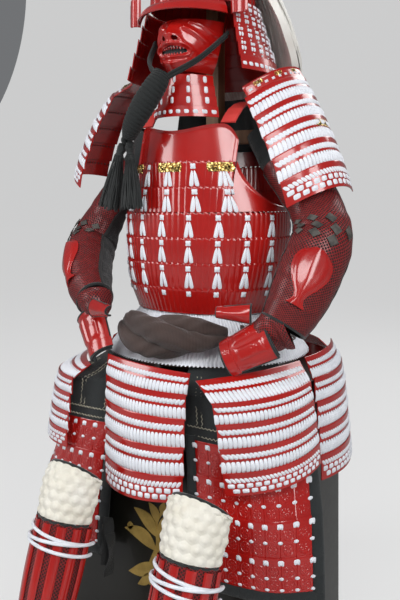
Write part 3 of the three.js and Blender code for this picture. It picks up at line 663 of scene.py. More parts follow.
soft_box("key_light", (2.6, -1.7, 2.2), (0, 0, 0.9), (1.3, 2.2), 70)
soft_box("left_light", (-2.3, -2.3, 1.9), (0, 0, 0.9), (1.3, 2.2), 55)
soft_box("front_light", (0.5, -3.0, 2.9), (0, 0, 0.8), (1.8, 1.0), 42)
soft_box("back_light", (0.6, 2.6, 3.0), (0, 0, 0.9), (2.4, 1.4), 36)
world = bpy.data.worlds.new("studio_air")
world.use_nodes = True
world.node_tree.nodes["Background"].inputs[0].default_value = (0.75, 0.77, 0.80, 1)
world.node_tree.nodes["Background"].inputs[1].default_value = 0.22
bpy.context.scene.world = world
bpy.context.scene.view_settings.view_transform = "Standard"

# %% [markdown]
# # The cuirass
#
# The cuirass is rows of narrow scales. Each scale is a shallow rib with a head cut on the slant, so a
# row's top edge is a line of small steps, and its face catches the light in upright stripes. Four rows go
# all round the body, and two shorter rows cover the chest and the back.
#
# A row is one grid with five lines to a scale. Copies of a single scale would leave gaps where the body
# curves, while a grid bends without any.

# %% Rows of scales
TORSO = Table([738, 790, 860, 950, 1057, 1175], a=[164, 182, 191, 192, 156, 132],
              front=[132, 144, 149, 147, 141, 133], back=[122, 128, 132, 134, 132, 122])
WAIST_Z, RIB_Z, CHEST_Z, COLLAR_Z = 738, 950, 1057, 1135
ROW = (RIB_Z - WAIST_Z) / 4
CHEST_ROW = (CHEST_Z - RIB_Z) / 2
LIP = 3.0


def torso(degrees, z, lift):
    return oval(degrees, z, TORSO("a", z), TORSO("front", z), TORSO("back", z), 0, lift)


def edge_angle(z, x):
    return np.degrees(np.arcsin(x / TORSO("a", z)))


SCALE_LINES = [0.0, 0.10, 0.45, 0.80, 0.97]
SCALE_RISE = [0.0, 0.7, 1.0, 0.75, 0.1]


def scale_row(name, form, first, last, scales, low, high, tuck=7.0, thick=1.8):
    """A row of ribbed scales on a form, from angle `first` to `last`."""
    width = (last - first) / scales
    across = np.append([first + (k + line) * width for k in range(scales) for line in SCALE_LINES], last)
    down = [low - tuck, low, (low + high) / 2, high - 7, high - 2.5, high]

    def relief(u, v):
        share = ((u - first) / width + 1e-6) % 1
        rib = np.interp(share, SCALE_LINES + [1.0], SCALE_RISE + [0.0])
        climb = np.clip((v - low) / (high - low), -0.3, 1)
        round_top = np.where(v > high - 1, -0.8, 0)
        return 0.4 + LIP * climb + rib * (v > low - 1) + round_top

    def slanted(u, v, lift):
        share = ((u - first) / width + 1e-6) % 1
        head = np.interp(share, [0, 0.12, 0.97, 1], [-1.2, 0.8, -4.0, -1.2])
        return form(u, v + head * np.clip((v - high + 8) / 8, 0, 1), lift)

    return sheet(name, slanted, across, down, thick, relief)


def chest_form(share, z, lift):
    return torso(share * edge_angle(z, 120), z, lift)


def back_form(half_width):
    def form(share, z, lift):
        return torso(180 + share * edge_angle(z, half_width), z, lift)
    return form


front_rows, back_rows = [], []
for k in range(4):
    low, high = WAIST_Z + k * ROW, WAIST_Z + (k + 1) * ROW
    front_rows.append(scale_row(f"front_{k}", torso, -90.6, 90.6, 42, low, high, 7 if k else 0))
    back_rows.append(scale_row(f"rear_{k}", torso, 91, 269, 42, low, high, 7 if k else 0))
dressed(joined("cuirass_front_scales", front_rows), red, "red_lacquer", "cuirass_front")
dressed(joined("cuirass_back_scales", back_rows), red, "red_lacquer", "cuirass_back")
chest, rear = [], []
for k in range(2):
    low, high = RIB_Z + 1 + k * CHEST_ROW, RIB_Z + (k + 1) * CHEST_ROW
    chest.append(scale_row(f"chest_{k}", chest_form, -1, 1, 18, low, high, 0 if k == 0 else 7))
    rear.append(scale_row(f"nape_{k}", back_form(120), -1, 1, 18, low, high, 0 if k == 0 else 7))
dressed(joined("chest_scales", chest), red, "red_lacquer", "chest_rows")
dressed(joined("upper_back_scales", rear), red, "red_lacquer", "back_rows")

# %% [markdown]
# The rows hang from each other on spaced pairs of laces. At the top of a row the lace comes out through
# two pairs of holes and makes a small square tie. Below it two or three strands spread down to the next
# row. The tie and the strand are modelled once, flat, and copied to each crossing of row and column.

# %% Ties and strands of the cuirass
def laid_copies(name, unit_piece, spots, form):
    """Copies a flat unit to each spot (across, down, wide, high, lean) on a form and joins them."""
    flat = coordinates(unit_piece)
    count = len(flat)
    piece = use(unit_piece)
    if len(spots) > 1:
        modify(piece, "ARRAY", count=len(spots), use_relative_offset=False, use_constant_offset=True,
               constant_offset_displace=(0, 0, 0))
    everything = coordinates(piece)
    for k, (across, down, wide, high, lean) in enumerate(spots):
        x, y, z = flat.T
        v = down + (y - 0.5) * high
        u = across + (x - 0.5) * wide + lean * (0.5 - y)
        everything[k * count:(k + 1) * count] = np.asarray(form(u, v, z)) * MM
    place_vertices(piece, everything)
    return named(name)


def square_tie(name="tie"):
    """A tie is two loops side by side, pinched at the middle of each edge."""
    tie = pad(name, 0.98, 0.98, 2.6, 4, 4, 5.0)
    x, y, z = coordinates(tie).T
    waist = 1 - 0.16 * np.cos(np.pi * (y - 0.5)) ** 8
    notch = 1 - 0.14 * np.cos(np.pi * (x - 0.5)) ** 12
    place_vertices(tie, np.stack([0.5 + (x - 0.5) * waist, 0.5 + (y - 0.5) * notch, z], axis=1))
    return tie


def strand(name="strand"):
    """One leg of a lace: narrow and pointed above, broad below, with a rounded back."""
    leg = pad(name, 1.0, 1.0, 2.8, 3, 5, 6.0)
    x, y, z = coordinates(leg).T
    broad = np.interp(y, [0, 0.25, 0.75, 1.0], [0.92, 1.0, 0.72, 0.30])
    place_vertices(leg, np.stack([0.5 + (x - 0.5) * broad, y, z], axis=1))
    return leg


FRONT_COLUMNS = [-74, -57, -42, -25, -7, 12, 31, 50.5, 71]
REAR_COLUMNS = [108, 127, 146, 165, 184, 203, 222, 241, 258]
ties, legs = [], []
for degrees in FRONT_COLUMNS + REAR_COLUMNS:
    radius = float(np.hypot(TORSO("a", 850) * math.cos(math.radians(degrees)),
                            TORSO("front", 850) * math.sin(math.radians(degrees))))
    per_mm = math.degrees(1) / radius
    for k in range(4):
        top = WAIST_Z + (k + 1) * ROW
        ties.append((degrees, top - 12, 12 * per_mm, 12, 0))
        if k == 0:
            continue
        lean = float(rng.uniform(-1.4, 1.4))
        for half in (-1, 1):
            legs.append((degrees + (half * 4.2 + lean) * per_mm, top - 36.5, 9.4 * per_mm, 33,
                         half * 4.4 * per_mm))


def lace_form(form, row=ROW, foot=WAIST_Z):
    """Laces lie on the scales, which stand out more towards each row's top."""
    def laced(u, z, lift):
        climb = ((z - foot) / row) % 1
        return form(u, z, lift + 1.5 + LIP * np.clip(climb, 0, 1))
    return laced


on_torso = lace_form(torso)
tie_piece = laid_copies("body_ties", square_tie(), ties, on_torso)
leg_piece = laid_copies("body_legs", strand(), legs, on_torso)

# The chest and the upper back: two rows, with three strands at the outer columns.
CHEST_COLUMNS = [(-46, 3), (-25, 2), (-4, 2), (16.5, 2), (39, 3)]
REAR_CHEST = [(141, 3), (162, 2), (180, 2), (198, 2), (219, 3)]
ties, legs = [], []
for degrees, strands in CHEST_COLUMNS + REAR_CHEST:
    per_mm = math.degrees(1) / 158
    for k in range(2):
        top = RIB_Z + (k + 1) * CHEST_ROW
        if not (k == 1 and degrees in (-46, -4, 39)):
            ties.append((degrees, top - 11.5, 12 * per_mm, 12, 0))
            if strands == 3:
                ties.append((degrees + 10 * per_mm, top - 11.5, 6 * per_mm, 11, 0))
        for leg in range(strands):
            off = leg - (strands - 1) / 2
            legs.append((degrees + off * 8.6 * per_mm, top - 37, 9.2 * per_mm, 33, off * 7 * per_mm))
on_chest = lace_form(torso, CHEST_ROW, RIB_Z)
chest_ties = laid_copies("chest_ties", square_tie(), ties, on_chest)
chest_legs = laid_copies("chest_legs", strand(), legs, on_chest)
dressed(smooth(joined("cuirass_lacing", [tie_piece, leg_piece, chest_ties, chest_legs]), 60), white_lace,
        "white_lace")

# %% [markdown]
# On the top row every second tie is hidden by a gilt fitting: a strip with two flower heads and pierced
# scrolls between them. Real ones are cut from sheet copper and riveted on. Here a strip of small cells is
# bent to the chest, with a raised boss for each flower.

# %% Gilt fittings of the chest
def fitting(name, wide, high, form, centre, down, turn=1.0, bosses=2, thick=1.6):
    """A gilt strip of the given size in mm, with round bosses, laid on a form round a centre."""
    across = steps(-0.5, 0.5, 41)
    rows = steps(-0.5, 0.5, 15)

    def relief(u, v):
        x, y = u * wide, v * high
        height = np.full_like(x, 1.2)
        for k in range(bosses):
            bx = (k - (bosses - 1) / 2) * wide * 0.48
            r = np.hypot(x - bx, y)
            petals = 1 + 0.14 * np.cos(8 * np.arctan2(y, x - bx))
            height += 2.2 * np.exp(-((r / (high * 0.30 * petals)) ** 4))
            height += 1.4 * np.exp(-((r / (high * 0.1)) ** 2))
        scroll = np.sin(x * 1.15 + 2 * np.sin(y * 0.8)) * np.cos(y * 0.9)
        return height + 0.7 * scroll

    def bent(u, v, lift):
        notch = 1 + 0.04 * np.cos(np.abs(v) * 2 * np.pi) * (np.abs(u) > 0.45)
        return form(centre + u * notch * wide * turn, down + v * high, lift)

    return sheet(name, bent, across, rows, thick, relief)


per_mm = math.degrees(1) / 158
fittings = [
    fitting(f"gilt_{k}", 56, 19, lace_form(torso, CHEST_ROW, RIB_Z), degrees, CHEST_Z - 13, per_mm)
    for k, degrees in enumerate((-45, -3, 37.5, 141, 180, 219))
]
dressed(joined("chest_fittings", fittings), gilt, "brass")

# %% [markdown]
# Smooth plates close the top of the cuirass: the chest plate with its rolled rim, the back plate, and a
# plate under each arm whose edge dips at the armpit. The rim is part of the plate. It is drawn out and
# turned over, so each grid gets close lines near its edge and the relief rolls them outwards.

# %% Chest plate, back plate and underarm plates
def chest_top(share):
    rise = np.sin(np.pi / 2 * np.clip(np.abs(share) / 0.72, 0, 1)) ** 2
    drop = np.clip((np.abs(share) - 0.72) / 0.28, 0, 1) ** 2
    return COLLAR_Z - 14 + 14 * rise - 34 * drop


def chest_plate_form(share, t, lift):
    z = CHEST_Z - 2 + (chest_top(share) - CHEST_Z + 2) * t
    return torso(share * edge_angle(z, 120), z, lift)


def rolled(edge_v, edge_u=None, high=4.0, wide=0.05):
    """Relief of a plate whose top edge, and optionally its side edges, roll outwards."""
    def relief(u, v):
        near = (edge_v - v) / wide
        if edge_u:
            near = np.minimum(near, (edge_u - np.abs(u)) / (wide * 0.6))
        return 1.0 + high * np.exp(-np.clip(near, 0, 9) ** 2 * 1.2)
    return relief


lines = np.concatenate([steps(0, 0.84, 8), [0.88, 0.91, 0.94, 0.965, 0.985, 1.0]])
sides = np.concatenate([-np.array([1.0, 0.99, 0.978, 0.96, 0.94]), steps(-0.9, 0.9, 45),
                        [0.94, 0.96, 0.978, 0.99, 1.0]])
chest_piece = sheet("chest_plate_piece", chest_plate_form, sides, lines, 2.2, rolled(1.0, 1.0, 4.0, 0.06))
dressed(chest_piece, red, "red_lacquer", "chest_plate")


def back_plate_form(share, t, lift):
    z = CHEST_Z - 2 + (1168 - 40 * share**4 - CHEST_Z + 2) * t
    return torso(180 + share * edge_angle(z, 108), z, lift)


back_piece = sheet("back_plate_piece", back_plate_form, steps(-1, 1, 49), lines, 2.2,
                   rolled(1.0, 1.0, 3.5, 0.05))
dressed(back_piece, red, "red_lacquer", "back_plate")

for side, x in SIDES.items():
    start = float(edge_angle(CHEST_Z, 122))
    low = RIB_Z + 1

    def underarm(degrees, t, lift):
        toward = np.abs(degrees - 90) / (90 - start)
        z = low + t * (9 + 96 * np.clip(toward, 0, 1) ** 2.2)
        held = 90 + np.sign(degrees - 90) * toward * (90 - edge_angle(z, 122))
        return torso(held, z, lift)

    across = steps(start, 180 - start, 61)
    piece = sheet(f"underarm_{side}", mirrored(underarm, x), across, lines, 2.2, rolled(1.0, None, 4.0, 0.07))
    dressed(piece, red, "red_lacquer", f"underarm_plate_{side}")

# %% [markdown]
# # The laced skirt
#
# Seven panels hang from the waist. Each is five lames laced close together in white. From its top edge
# down, a lame shows a bar of bare lacquer, a row of slanted cross stitches, a thin red line, and then the
# hanging laces, which swell a little and go in behind the next lame. The last lame ends in two rows of
# square knots.
#
# A panel is made flat, in cells: one lace wide and one lame high. The same three units (lace, stitch,
# knot) make the shoulder guards too.

# %% Close lacing
LAMES = 5


def board_lift(s):
    """Height of a lame over its form: its top edge stands out, its foot goes in behind the next one."""
    return 5.2 - 4.2 * s


def lacquer_boards(name, form, lames=LAMES, thick=2.2, bend=24):
    boards = []
    for k in range(lames):
        last = k == lames - 1
        local = [0, 0.02, 0.06, 0.2, 0.5, 0.8, 1.0] + ([] if last else [1.10])

        def relief(u, t, k=k, last=last):
            s = t * lames - k
            slope = board_lift(s) if not last else 5.2 - 2.6 * s
            corner = np.where(s < 0.015, -0.9, 0)
            return slope + corner

        down = [(k + s) / lames for s in local]
        edge = np.concatenate([[-1, -0.985], steps(-0.96, 0.96, bend), [0.985, 1]])
        boards.append(sheet(f"{name}_{k}", form, edge, down, thick, relief))
    return joined(name, boards)


def cell_copies(name, unit_piece, columns, rows, form, lames=LAMES, first_row=0, shift=0.0, height=board_lift,
                swell=0.0, width=1.0):
    """Fills rows of lames with copies of a unit, and lays them on the form above the lacquered boards."""
    count = len(unit_piece.data.vertices)
    piece = repeated(unit_piece, columns, rows)
    x, y, z = coordinates(piece).T
    row = np.arange(len(x)) // (count * columns)
    s = y - row
    u = (-1 + 2 * (x + shift) / columns) * width
    swollen = swell * np.sin(np.pi * np.clip((s - 0.5) / 0.5, 0, 1))
    points = form(u, (row + first_row + s) / lames, z + height(s) + swollen)
    place_vertices(piece, np.asarray(points) * MM)
    return named(name)


def close_lacing(name, form, half, lean=1, lames=LAMES, lace_mm=7.7, width=1.0):
    laces = round(2 * half / lace_mm)
    knots = laces // 2
    hanging = cell_copies("hanging", pad("lace", 0.97, 0.50, 3.0, 4, 5, 3.0, at=(0.5, 0.80)), laces,
                          lames - 1,
                          form, lames, swell=2.0, width=width * 1.01)
    stitch = sloped(pad("stitch", 1.05, 0.24, 2.8, 3, 4, 2.2, at=(0.5, 0.345)), lean * 3.4)
    stitches = cell_copies("stitches", stitch, laces, lames, form, lames, width=width * 0.97)
    pieces = [hanging, stitches]
    for row, (place, shift) in enumerate(((0.575, 0.0), (0.80, 0.5))):
        knot = pad("knot", 0.74, 0.19, 3.0, 4, 4, 4.0, at=(0.5, place))
        pieces.append(cell_copies(f"knots_{row}", knot, knots - (1 if shift else 0), 1,
                                  form if not shift else inset(form, knots), lames, lames - 1,
                                  height=lambda s: 5.2 - 2.6 * s, width=width * 0.97))
    return smooth(joined(name, pieces), 70)


def inset(form, cells):
    """The same form for a row that has one cell fewer, centred."""
    return lambda u, t, lift: form(u * (cells - 1) / cells, t, lift)


# %% [markdown]
# Each skirt panel faces its own way round the hips. Its middle starts `out` millimetres from the body's
# middle and ends `out_hem` away, because it falls over the edge of the box, and it is bowed like a roof
# tile.

# %% Skirt panels
SKIRT = {
    "skirt_front": dict(faces=-3, out=(238, 289), drape=0.5, along=(6, 14), half=(104, 96), bow=(14, 38),
                        z=(648, 402), roll=(-7, -1)),
    "skirt_front_left": dict(faces=55, out=(266, 354), drape=0.2, along=(-28, -6), half=(114, 104),
                             bow=(16, 42),
                             z=(645, 452), roll=(8, 14)),
    "skirt_front_right": dict(faces=55, out=(266, 354), drape=0.22, along=(-4, 12), half=(108, 100),
                              bow=(16, 50),
                              z=(632, 450), roll=(0, 0)),
    "skirt_side_left": dict(faces=93, out=(258, 308), drape=0.38, along=(56, 60), half=(92, 100),
                            bow=(16, 26),
                            z=(652, 404), roll=(4, 4)),
    "skirt_side_right": dict(faces=93, out=(258, 308), drape=0.38, along=(56, 60), half=(92, 100),
                             bow=(16, 26),
                             z=(652, 404), roll=(4, 4)),
    "skirt_back_left": dict(faces=150, out=(282, 358), drape=0.26, along=(24, 30), half=(90, 100),
                            bow=(16, 24),
                            z=(645, 420), roll=(0, 0)),
    "skirt_back_right": dict(faces=150, out=(282, 358), drape=0.26, along=(24, 30), half=(90, 100),
                             bow=(16, 24),
                             z=(645, 420), roll=(0, 0)),
}


DRAWN_UP = [0, 0.16, 0.35, 0.57, 0.79, 1]  # where each lame starts: the upper ones are drawn up closer


def skirt_form(panel, x=1):
    def between(pair, share):
        return pair[0] + (pair[1] - pair[0]) * share

    s, c = math.sin(math.radians(panel["faces"])), math.cos(math.radians(panel["faces"]))

    def form(u, t, lift):
        lame_tops = steps(0, 1, LAMES + 1)
        fall = np.interp(t, lame_tops, lame_tops ** panel["drape"])
        down = np.interp(t, lame_tops, DRAWN_UP)
        out = between(panel["out"], fall) + lift - between(panel["bow"], fall) * u * u
        along = between(panel["along"], t) + u * between(panel["half"], fall)
        z = between(panel["z"], down) + u * between(panel["roll"], t)
        return np.stack([x * (out * s + along * c), -out * c + along * s, z + 0 * u], axis=-1)

    return form


for name, panel in SKIRT.items():
    x = -1 if name.endswith("right") else 1
    form = skirt_form(panel, x)
    half = sum(panel["half"]) / 2
    boards = lacquer_boards(f"{name}_lames", form)
    dressed(boards, red, "red_lacquer", name)
    lean = -1 if name in ("skirt_front",) else 1
    dressed(close_lacing(f"{name}_lacing", form, half, lean), white_lace, "white_lace")

# %% [markdown]
# Between the cuirass and the skirt the laces hang free: a ring of long white braids, side by side. Their
# upper ends are pulled through the cuirass's last row on the slant, so the top edge is a line of small
# teeth.

# %% Waist lacing
HIPS = Table([642, 668, 700, 736, 756], a=[232, 212, 188, 157, 158], front=[206, 174, 150, 126, 127],
             back=[226, 190, 152, 114, 114])


def hips(degrees, z, lift):
    return oval(degrees, z, HIPS("a", z), HIPS("front", z), HIPS("back", z), 0, lift)


BRAIDS = 168
braid_unit = pad("braid", 0.97, 1.0, 3.2, 3, 9, 6.0)
braids = repeated(braid_unit, BRAIDS)
x, y, z = coordinates(braids).T
each = np.floor(x + 1e-6)
wave = 1.2 * np.sin(each * 2.1) * np.sin(np.pi * np.clip(y, 0, 1))
tooth = np.where(np.abs(y - 1) < 0.01, 4 * (x - each - 0.5), 0)
place_vertices(braids, hips(x * 360 / BRAIDS, 642 + 106 * y + tooth, z + wave - 0.6) * MM)
backing = sheet("braid_backing", hips, steps(0, 360, 97), [644, 660, 680, 700, 720, 736, 748], 1.6,
                lambda u, v: -1.0 + 0 * u, ring=True)
dressed(smooth(joined("waist_braids", [braids, backing]), 70), white_lace, "white_lace", "waist_lacing")

# %% [markdown]
# # The sash
#
# A brown silk sash is wound round the waist and twisted in front, so three thick rolls of cloth turn
# about each other. Each roll is a tube along its own path: the middle line of the twist plus a step to
# the side that turns as it goes. Soft folds run along the rolls and gather where one goes under another.

# %% Sash
TWIST = [(-112, -162, 706), (-86, -188, 705), (-52, -205, 704), (0, -212, 702), (52, -206, 703),
         (98, -186, 705), (134, -152, 707)]
TWIST_WIDE = [13, 32, 44, 47, 44, 34, 15]
TWIST_DEEP = [9, 19, 25, 27, 25, 20, 10]
twist_at = np.arange(len(TWIST))


def roll_form(start, turns=0.62):
    def form(u, v, lift):
        u, v = np.broadcast_arrays(np.asarray(u, float), np.asarray(v, float))
        middle = hermite(twist_at, TWIST, v)
        ahead = unit(hermite(twist_at, TWIST, v + 0.01) - hermite(twist_at, TWIST, v - 0.01))
        up = np.array([0, 0, 1.0]) + 0 * ahead
        out = unit(np.cross(ahead, up))
        out = np.where(out[..., 1:2] > 0, -out, out)
        wide, deep = hermite(twist_at, TWIST_WIDE, v), hermite(twist_at, TWIST_DEEP, v)
        turn = 2 * np.pi * (start + turns * v / 6)
        off_up, off_out = 0.50 * wide * np.cos(turn), 0.46 * deep * np.sin(turn)
        fold = 1.6 * np.sin(2 * np.pi * (5 * u + 0.9 * np.sin(v * 1.7 + start * 9))) * np.sin(v / 6 * np.pi)
        pinch = 1 - 0.12 * np.cos(turn) ** 2
        w = (0.56 * wide + lift + fold) * np.cos(2 * np.pi * u) * pinch
        d = (0.62 * deep + lift + fold) * np.sin(2 * np.pi * u)
        return middle + up * (off_up + w)[..., None] + out * (off_out + d)[..., None]
    return form


rolls = []
for k in range(3):
    roll = sheet(f"roll_{k}", roll_form(k / 3 + 0.18), steps(0, 1, 41), steps(0, 6, 61), 0, ring=True,
                 size=(190, 320))
    for end in (0, 6):
        place = hermite(twist_at, TWIST, end)
        pick(roll, "EDGE", lambda x, y, z: np.hypot(x - place[0], y - place[1]) < 9)
        bpy.ops.mesh.region_to_loop()
        done()
    pick(roll, "VERT", lambda *p: True)
    bpy.ops.mesh.select_all(action="DESELECT")
    bpy.ops.mesh.select_non_manifold(extend=False)
    bpy.ops.mesh.fill_holes(sides=0)
    done()
    rolls.append(faces_out(roll))
dressed(smooth(joined("sash_twist_rolls", rolls), 60), brown_silk, "brown_silk", "sash_twist")


def band_form(degrees, v, lift):
    z = 695 + 19 * v
    creases = 1.6 * np.sin(9 * v + degrees * 0.06) + 1.0 * np.sin(14 * v - degrees * 0.11)
    swell = 10 * np.cos(v * 1.35) + creases
    return hips(degrees, z + 1.5 * np.sin(degrees * 0.05), lift + np.maximum(swell, 1.0))


band = sheet("sash_band_cloth", band_form, steps(48, 312, 133), steps(-1, 1, 25), 1.6, size=(880, 60))
dressed(band, brown_silk, "brown_silk", "sash_band")

# %% [markdown]
# # The thigh apron
#
# Two panels of black cloth hang over the front of the box. The upper part is bare quilted cloth, stitched
# in cream zigzags. The lower part carries four rows of small plates, tied on in white, each embossed with
# two flower roundels. A padded black border frames them.
#
# The cloth is one sheet over the whole form. Everything on it is laid on the same form, a little higher.

# %% Apron cloth
APRON_Z = [243, 327, 389, 451, 513, 560, 594, 606, 640]
APRON = np.array([
    # inner edge, second line, third line, outer edge: x and y of each
    [(100, -242), (195, -242), (276, -226), (350, -176)],
    [(96, -239), (191, -240), (271, -225), (342, -160)],
    [(93, -235), (187, -237), (266, -219), (330, -136)],
    [(88, -230), (180, -232), (254, -206), (306, -96)],
    [(82, -225), (174, -227), (243, -206), (288, -92)],
    [(76, -220), (170, -221), (242, -205), (272, -98)],
    [(70, -216), (168, -220), (241, -204), (268, -98)],
    [(66, -200), (150, -202), (214, -180), (240, -92)],
    [(60, -176), (124, -166), (172, -126), (204, -66)],
], float)
PLATES_LOW, PLATES_TOP, PLATE_ROWS, PLATES = 265, 513, 4, 8


def apron_line(share, z):
    share, z = np.broadcast_arrays(np.asarray(share, float), np.asarray(z, float))
    lines = np.stack([np.stack([np.interp(z, APRON_Z, APRON[:, k, axis]) for axis in (0, 1)], axis=-1)
                      for k in range(4)], axis=-2)
    k = np.clip(np.floor(share * 3), 0, 2).astype(int)
    t = (share * 3 - k)[..., None]

    def corner(index):
        index = np.clip(index, 0, 3)
        return np.take_along_axis(lines, index[..., None, None], axis=-2)[..., 0, :]

    a, b = corner(k), corner(k + 1)
    slope_a = np.where((k == 0)[..., None], b - a, (b - corner(k - 1)) / 2)
    slope_b = np.where((k == 2)[..., None], b - a, (corner(k + 2) - a) / 2)
    return (a * (2 * t**3 - 3 * t**2 + 1) + b * (3 * t**2 - 2 * t**3)
            + slope_a * (t**3 - 2 * t**2 + t) + slope_b * (t**3 - t**2))


def apron_form(x=1):
    def form(share, z, lift):
        middle = apron_line(share, z)
        ahead = unit(apron_line(share + 0.004, z) - apron_line(share - 0.004, z))
        p = middle + np.stack([ahead[..., 1], -ahead[..., 0]], axis=-1) * np.asarray(lift)[..., None]
        return np.stack([x * p[..., 0], p[..., 1], np.broadcast_to(z, p[..., 0].shape)], axis=-1)
    return form


def plate_form(apron):
    """The apron's plates: across is inside the border, and down runs from the top row, 0, to the last, 1."""
    def form(u, t, lift):
        share = (1 + 10 * (u + 1) / 2) / 12
        return apron(share, PLATES_TOP + (PLATES_LOW - PLATES_TOP) * t, lift + 1.2)
    return form


def cloth_relief(share, z):
    slack = 1.4 * np.sin(share * 9 + z * 0.021) * np.sin(z * 0.033 + 1)
    return np.where(z > PLATES_TOP, 0.6 + slack, 0.0)


def zigzag(name, form, path, step_mm=4.2, wide_mm=3.4, lift=0.7):
    """A row of slanted threads along a path of (across, z) points on a form."""
    path = np.asarray(path, float)
    points = np.asarray(form(path[:, 0], path[:, 1], 0 * path[:, 0]))
    run = np.concatenate([[0], np.cumsum(np.linalg.norm(np.diff(points, axis=0), axis=1))])
    count = max(int(run[-1] / step_mm), 2)
    at = steps(0, run[-1], count + 1)
    u, v = np.interp(at, run, path[:, 0]), np.interp(at, run, path[:, 1])
    middle = np.asarray(form(u, v, 0 * u + lift))
    ahead = unit(np.gradient(middle, axis=0))
    out = unit(np.asarray(form(u, v, 0 * u + lift + 1)) - middle)
    side = np.cross(ahead, out) * (wide_mm / 2 * np.where(np.arange(len(at)) % 2, 1, -1))[:, None]
    nothing_selected()
    bpy.ops.mesh.primitive_cylinder_add(vertices=6, radius=0.45, depth=1, end_fill_type="NGON")
    stitch = named(name)
    modify(stitch, "ARRAY", count=count, use_relative_offset=False, use_constant_offset=True,
           constant_offset_displace=(0, 0, 0))
    flat = coordinates(stitch).reshape(count, -1, 3)
    a, b = (middle + side)[:-1], (middle + side)[1:]
    along, across = unit(b - a), unit(np.cross(b - a, out[:-1]))
    share = flat[..., 2:3] + 0.5
    place_vertices(stitch, (
        (a[:, None] * (1 - share) + b[:, None] * share + along[:, None] * (share - 0.5) * 0.6
         + across[:, None] * flat[..., 0:1] + out[:-1][:, None] * (flat[..., 1:2] + 0.25
                                                                   * np.sin(np.pi * share)))
    ).reshape(-1, 3) * MM)
    return stitch


for side, x in SIDES.items():
    apron = apron_form(x)
    down = np.concatenate([steps(243, 515, 24), steps(525, 590, 9), steps(594, 640, 12)])
    garment = sheet(f"apron_cloth_{side}", apron, steps(0, 1, 49), down, 2.4, cloth_relief, size=(290, 430))
    dressed(garment, black_cloth, "black_cloth", f"thigh_apron_{side}")

    # The stitching: two rows along the plates' top edge, and pairs of uprights above them.
    seams = []
    for z in (519, 536):
        seams.append(zigzag("seam", apron, [(s, z) for s in steps(0.02, 0.98, 30)]))
    for share in (0.10, 0.14, 0.34, 0.38, 0.58, 0.62, 0.82, 0.86):
        seams.append(zigzag("seam", apron, [(share, z) for z in steps(540, 625, 20)]))
    seams.append(zigzag("seam", apron, [(0.955, z) for z in steps(505, 420, 12)]))
    dressed(joined(f"apron_stitching_{side}", seams), thread, "cream_quilting")

# %% [markdown]
# One plate is 29 mm wide with slightly raised edges. The rows overlap, and each joint between two plates
# is covered near the top by a square tie with a notch, and half way down by a small pointed one.

# %% Apron plates, ties and roundels
def plate_rows(name, form):
    pieces = []
    for k in range(PLATE_ROWS):
        across = np.concatenate([[j, j + 0.03, j + 0.1, j + 0.5, j + 0.9,
                                  j + 0.97] for j in range(PLATES)] + [[PLATES]])
        local = [0, 0.03, 0.1, 0.5, 0.9, 1.0] + ([] if k == PLATE_ROWS - 1 else [1.06])

        def relief(u, t, k=k):
            share = ((u + 1) / 2 * PLATES) % 1
            seam = -0.9 * (np.minimum(share, 1 - share) < 0.02)
            s = t * PLATE_ROWS - k
            return 3.8 - 2.4 * s + seam + 0.5 * np.sin(np.pi * share) - 0.6 * (s < 0.02)

        pieces.append(sheet(f"{name}_{k}", form, across * 2 / PLATES - 1,
                            [(k + s) / PLATE_ROWS for s in local],
                            1.6, relief))
    return joined(name, pieces)


def plate_height(s):
    return 3.8 - 2.4 * s


def over_joints(form):
    """The same form for a row of ties, with one cell more than the plates, because it covers their joints."""
    return lambda u, t, lift: form((u + 1) * (PLATES + 1) / PLATES - 1, t, lift)


def roundel():
    """A ring with six petals, 22 mm across, in low relief."""
    nothing_selected()
    parts = []
    bpy.ops.mesh.primitive_torus_add(major_radius=0.335, minor_radius=0.032, major_segments=16,
                                     minor_segments=4)
    parts.append(named("ring"))
    for k in range(6):
        angle = k * math.pi / 3
        bpy.ops.mesh.primitive_uv_sphere_add(segments=6, ring_count=4, radius=1)
        petal = named("petal")
        flat = coordinates(petal)
        px, py, pz = flat[:, 0] * 0.125, flat[:, 1] * 0.062, flat[:, 2] * 0.03
        px = px + 0.165
        turned = np.stack([px * math.cos(angle) - py * math.sin(angle),
                           px * math.sin(angle) + py * math.cos(angle), pz], 1)
        place_vertices(petal, turned)
        parts.append(petal)
    mark = joined("roundel", parts)
    flat = coordinates(mark)
    place_vertices(mark, np.stack([0.5 + flat[:, 0], 0.5 + flat[:, 1], flat[:, 2] * 26], axis=1))
    return mark


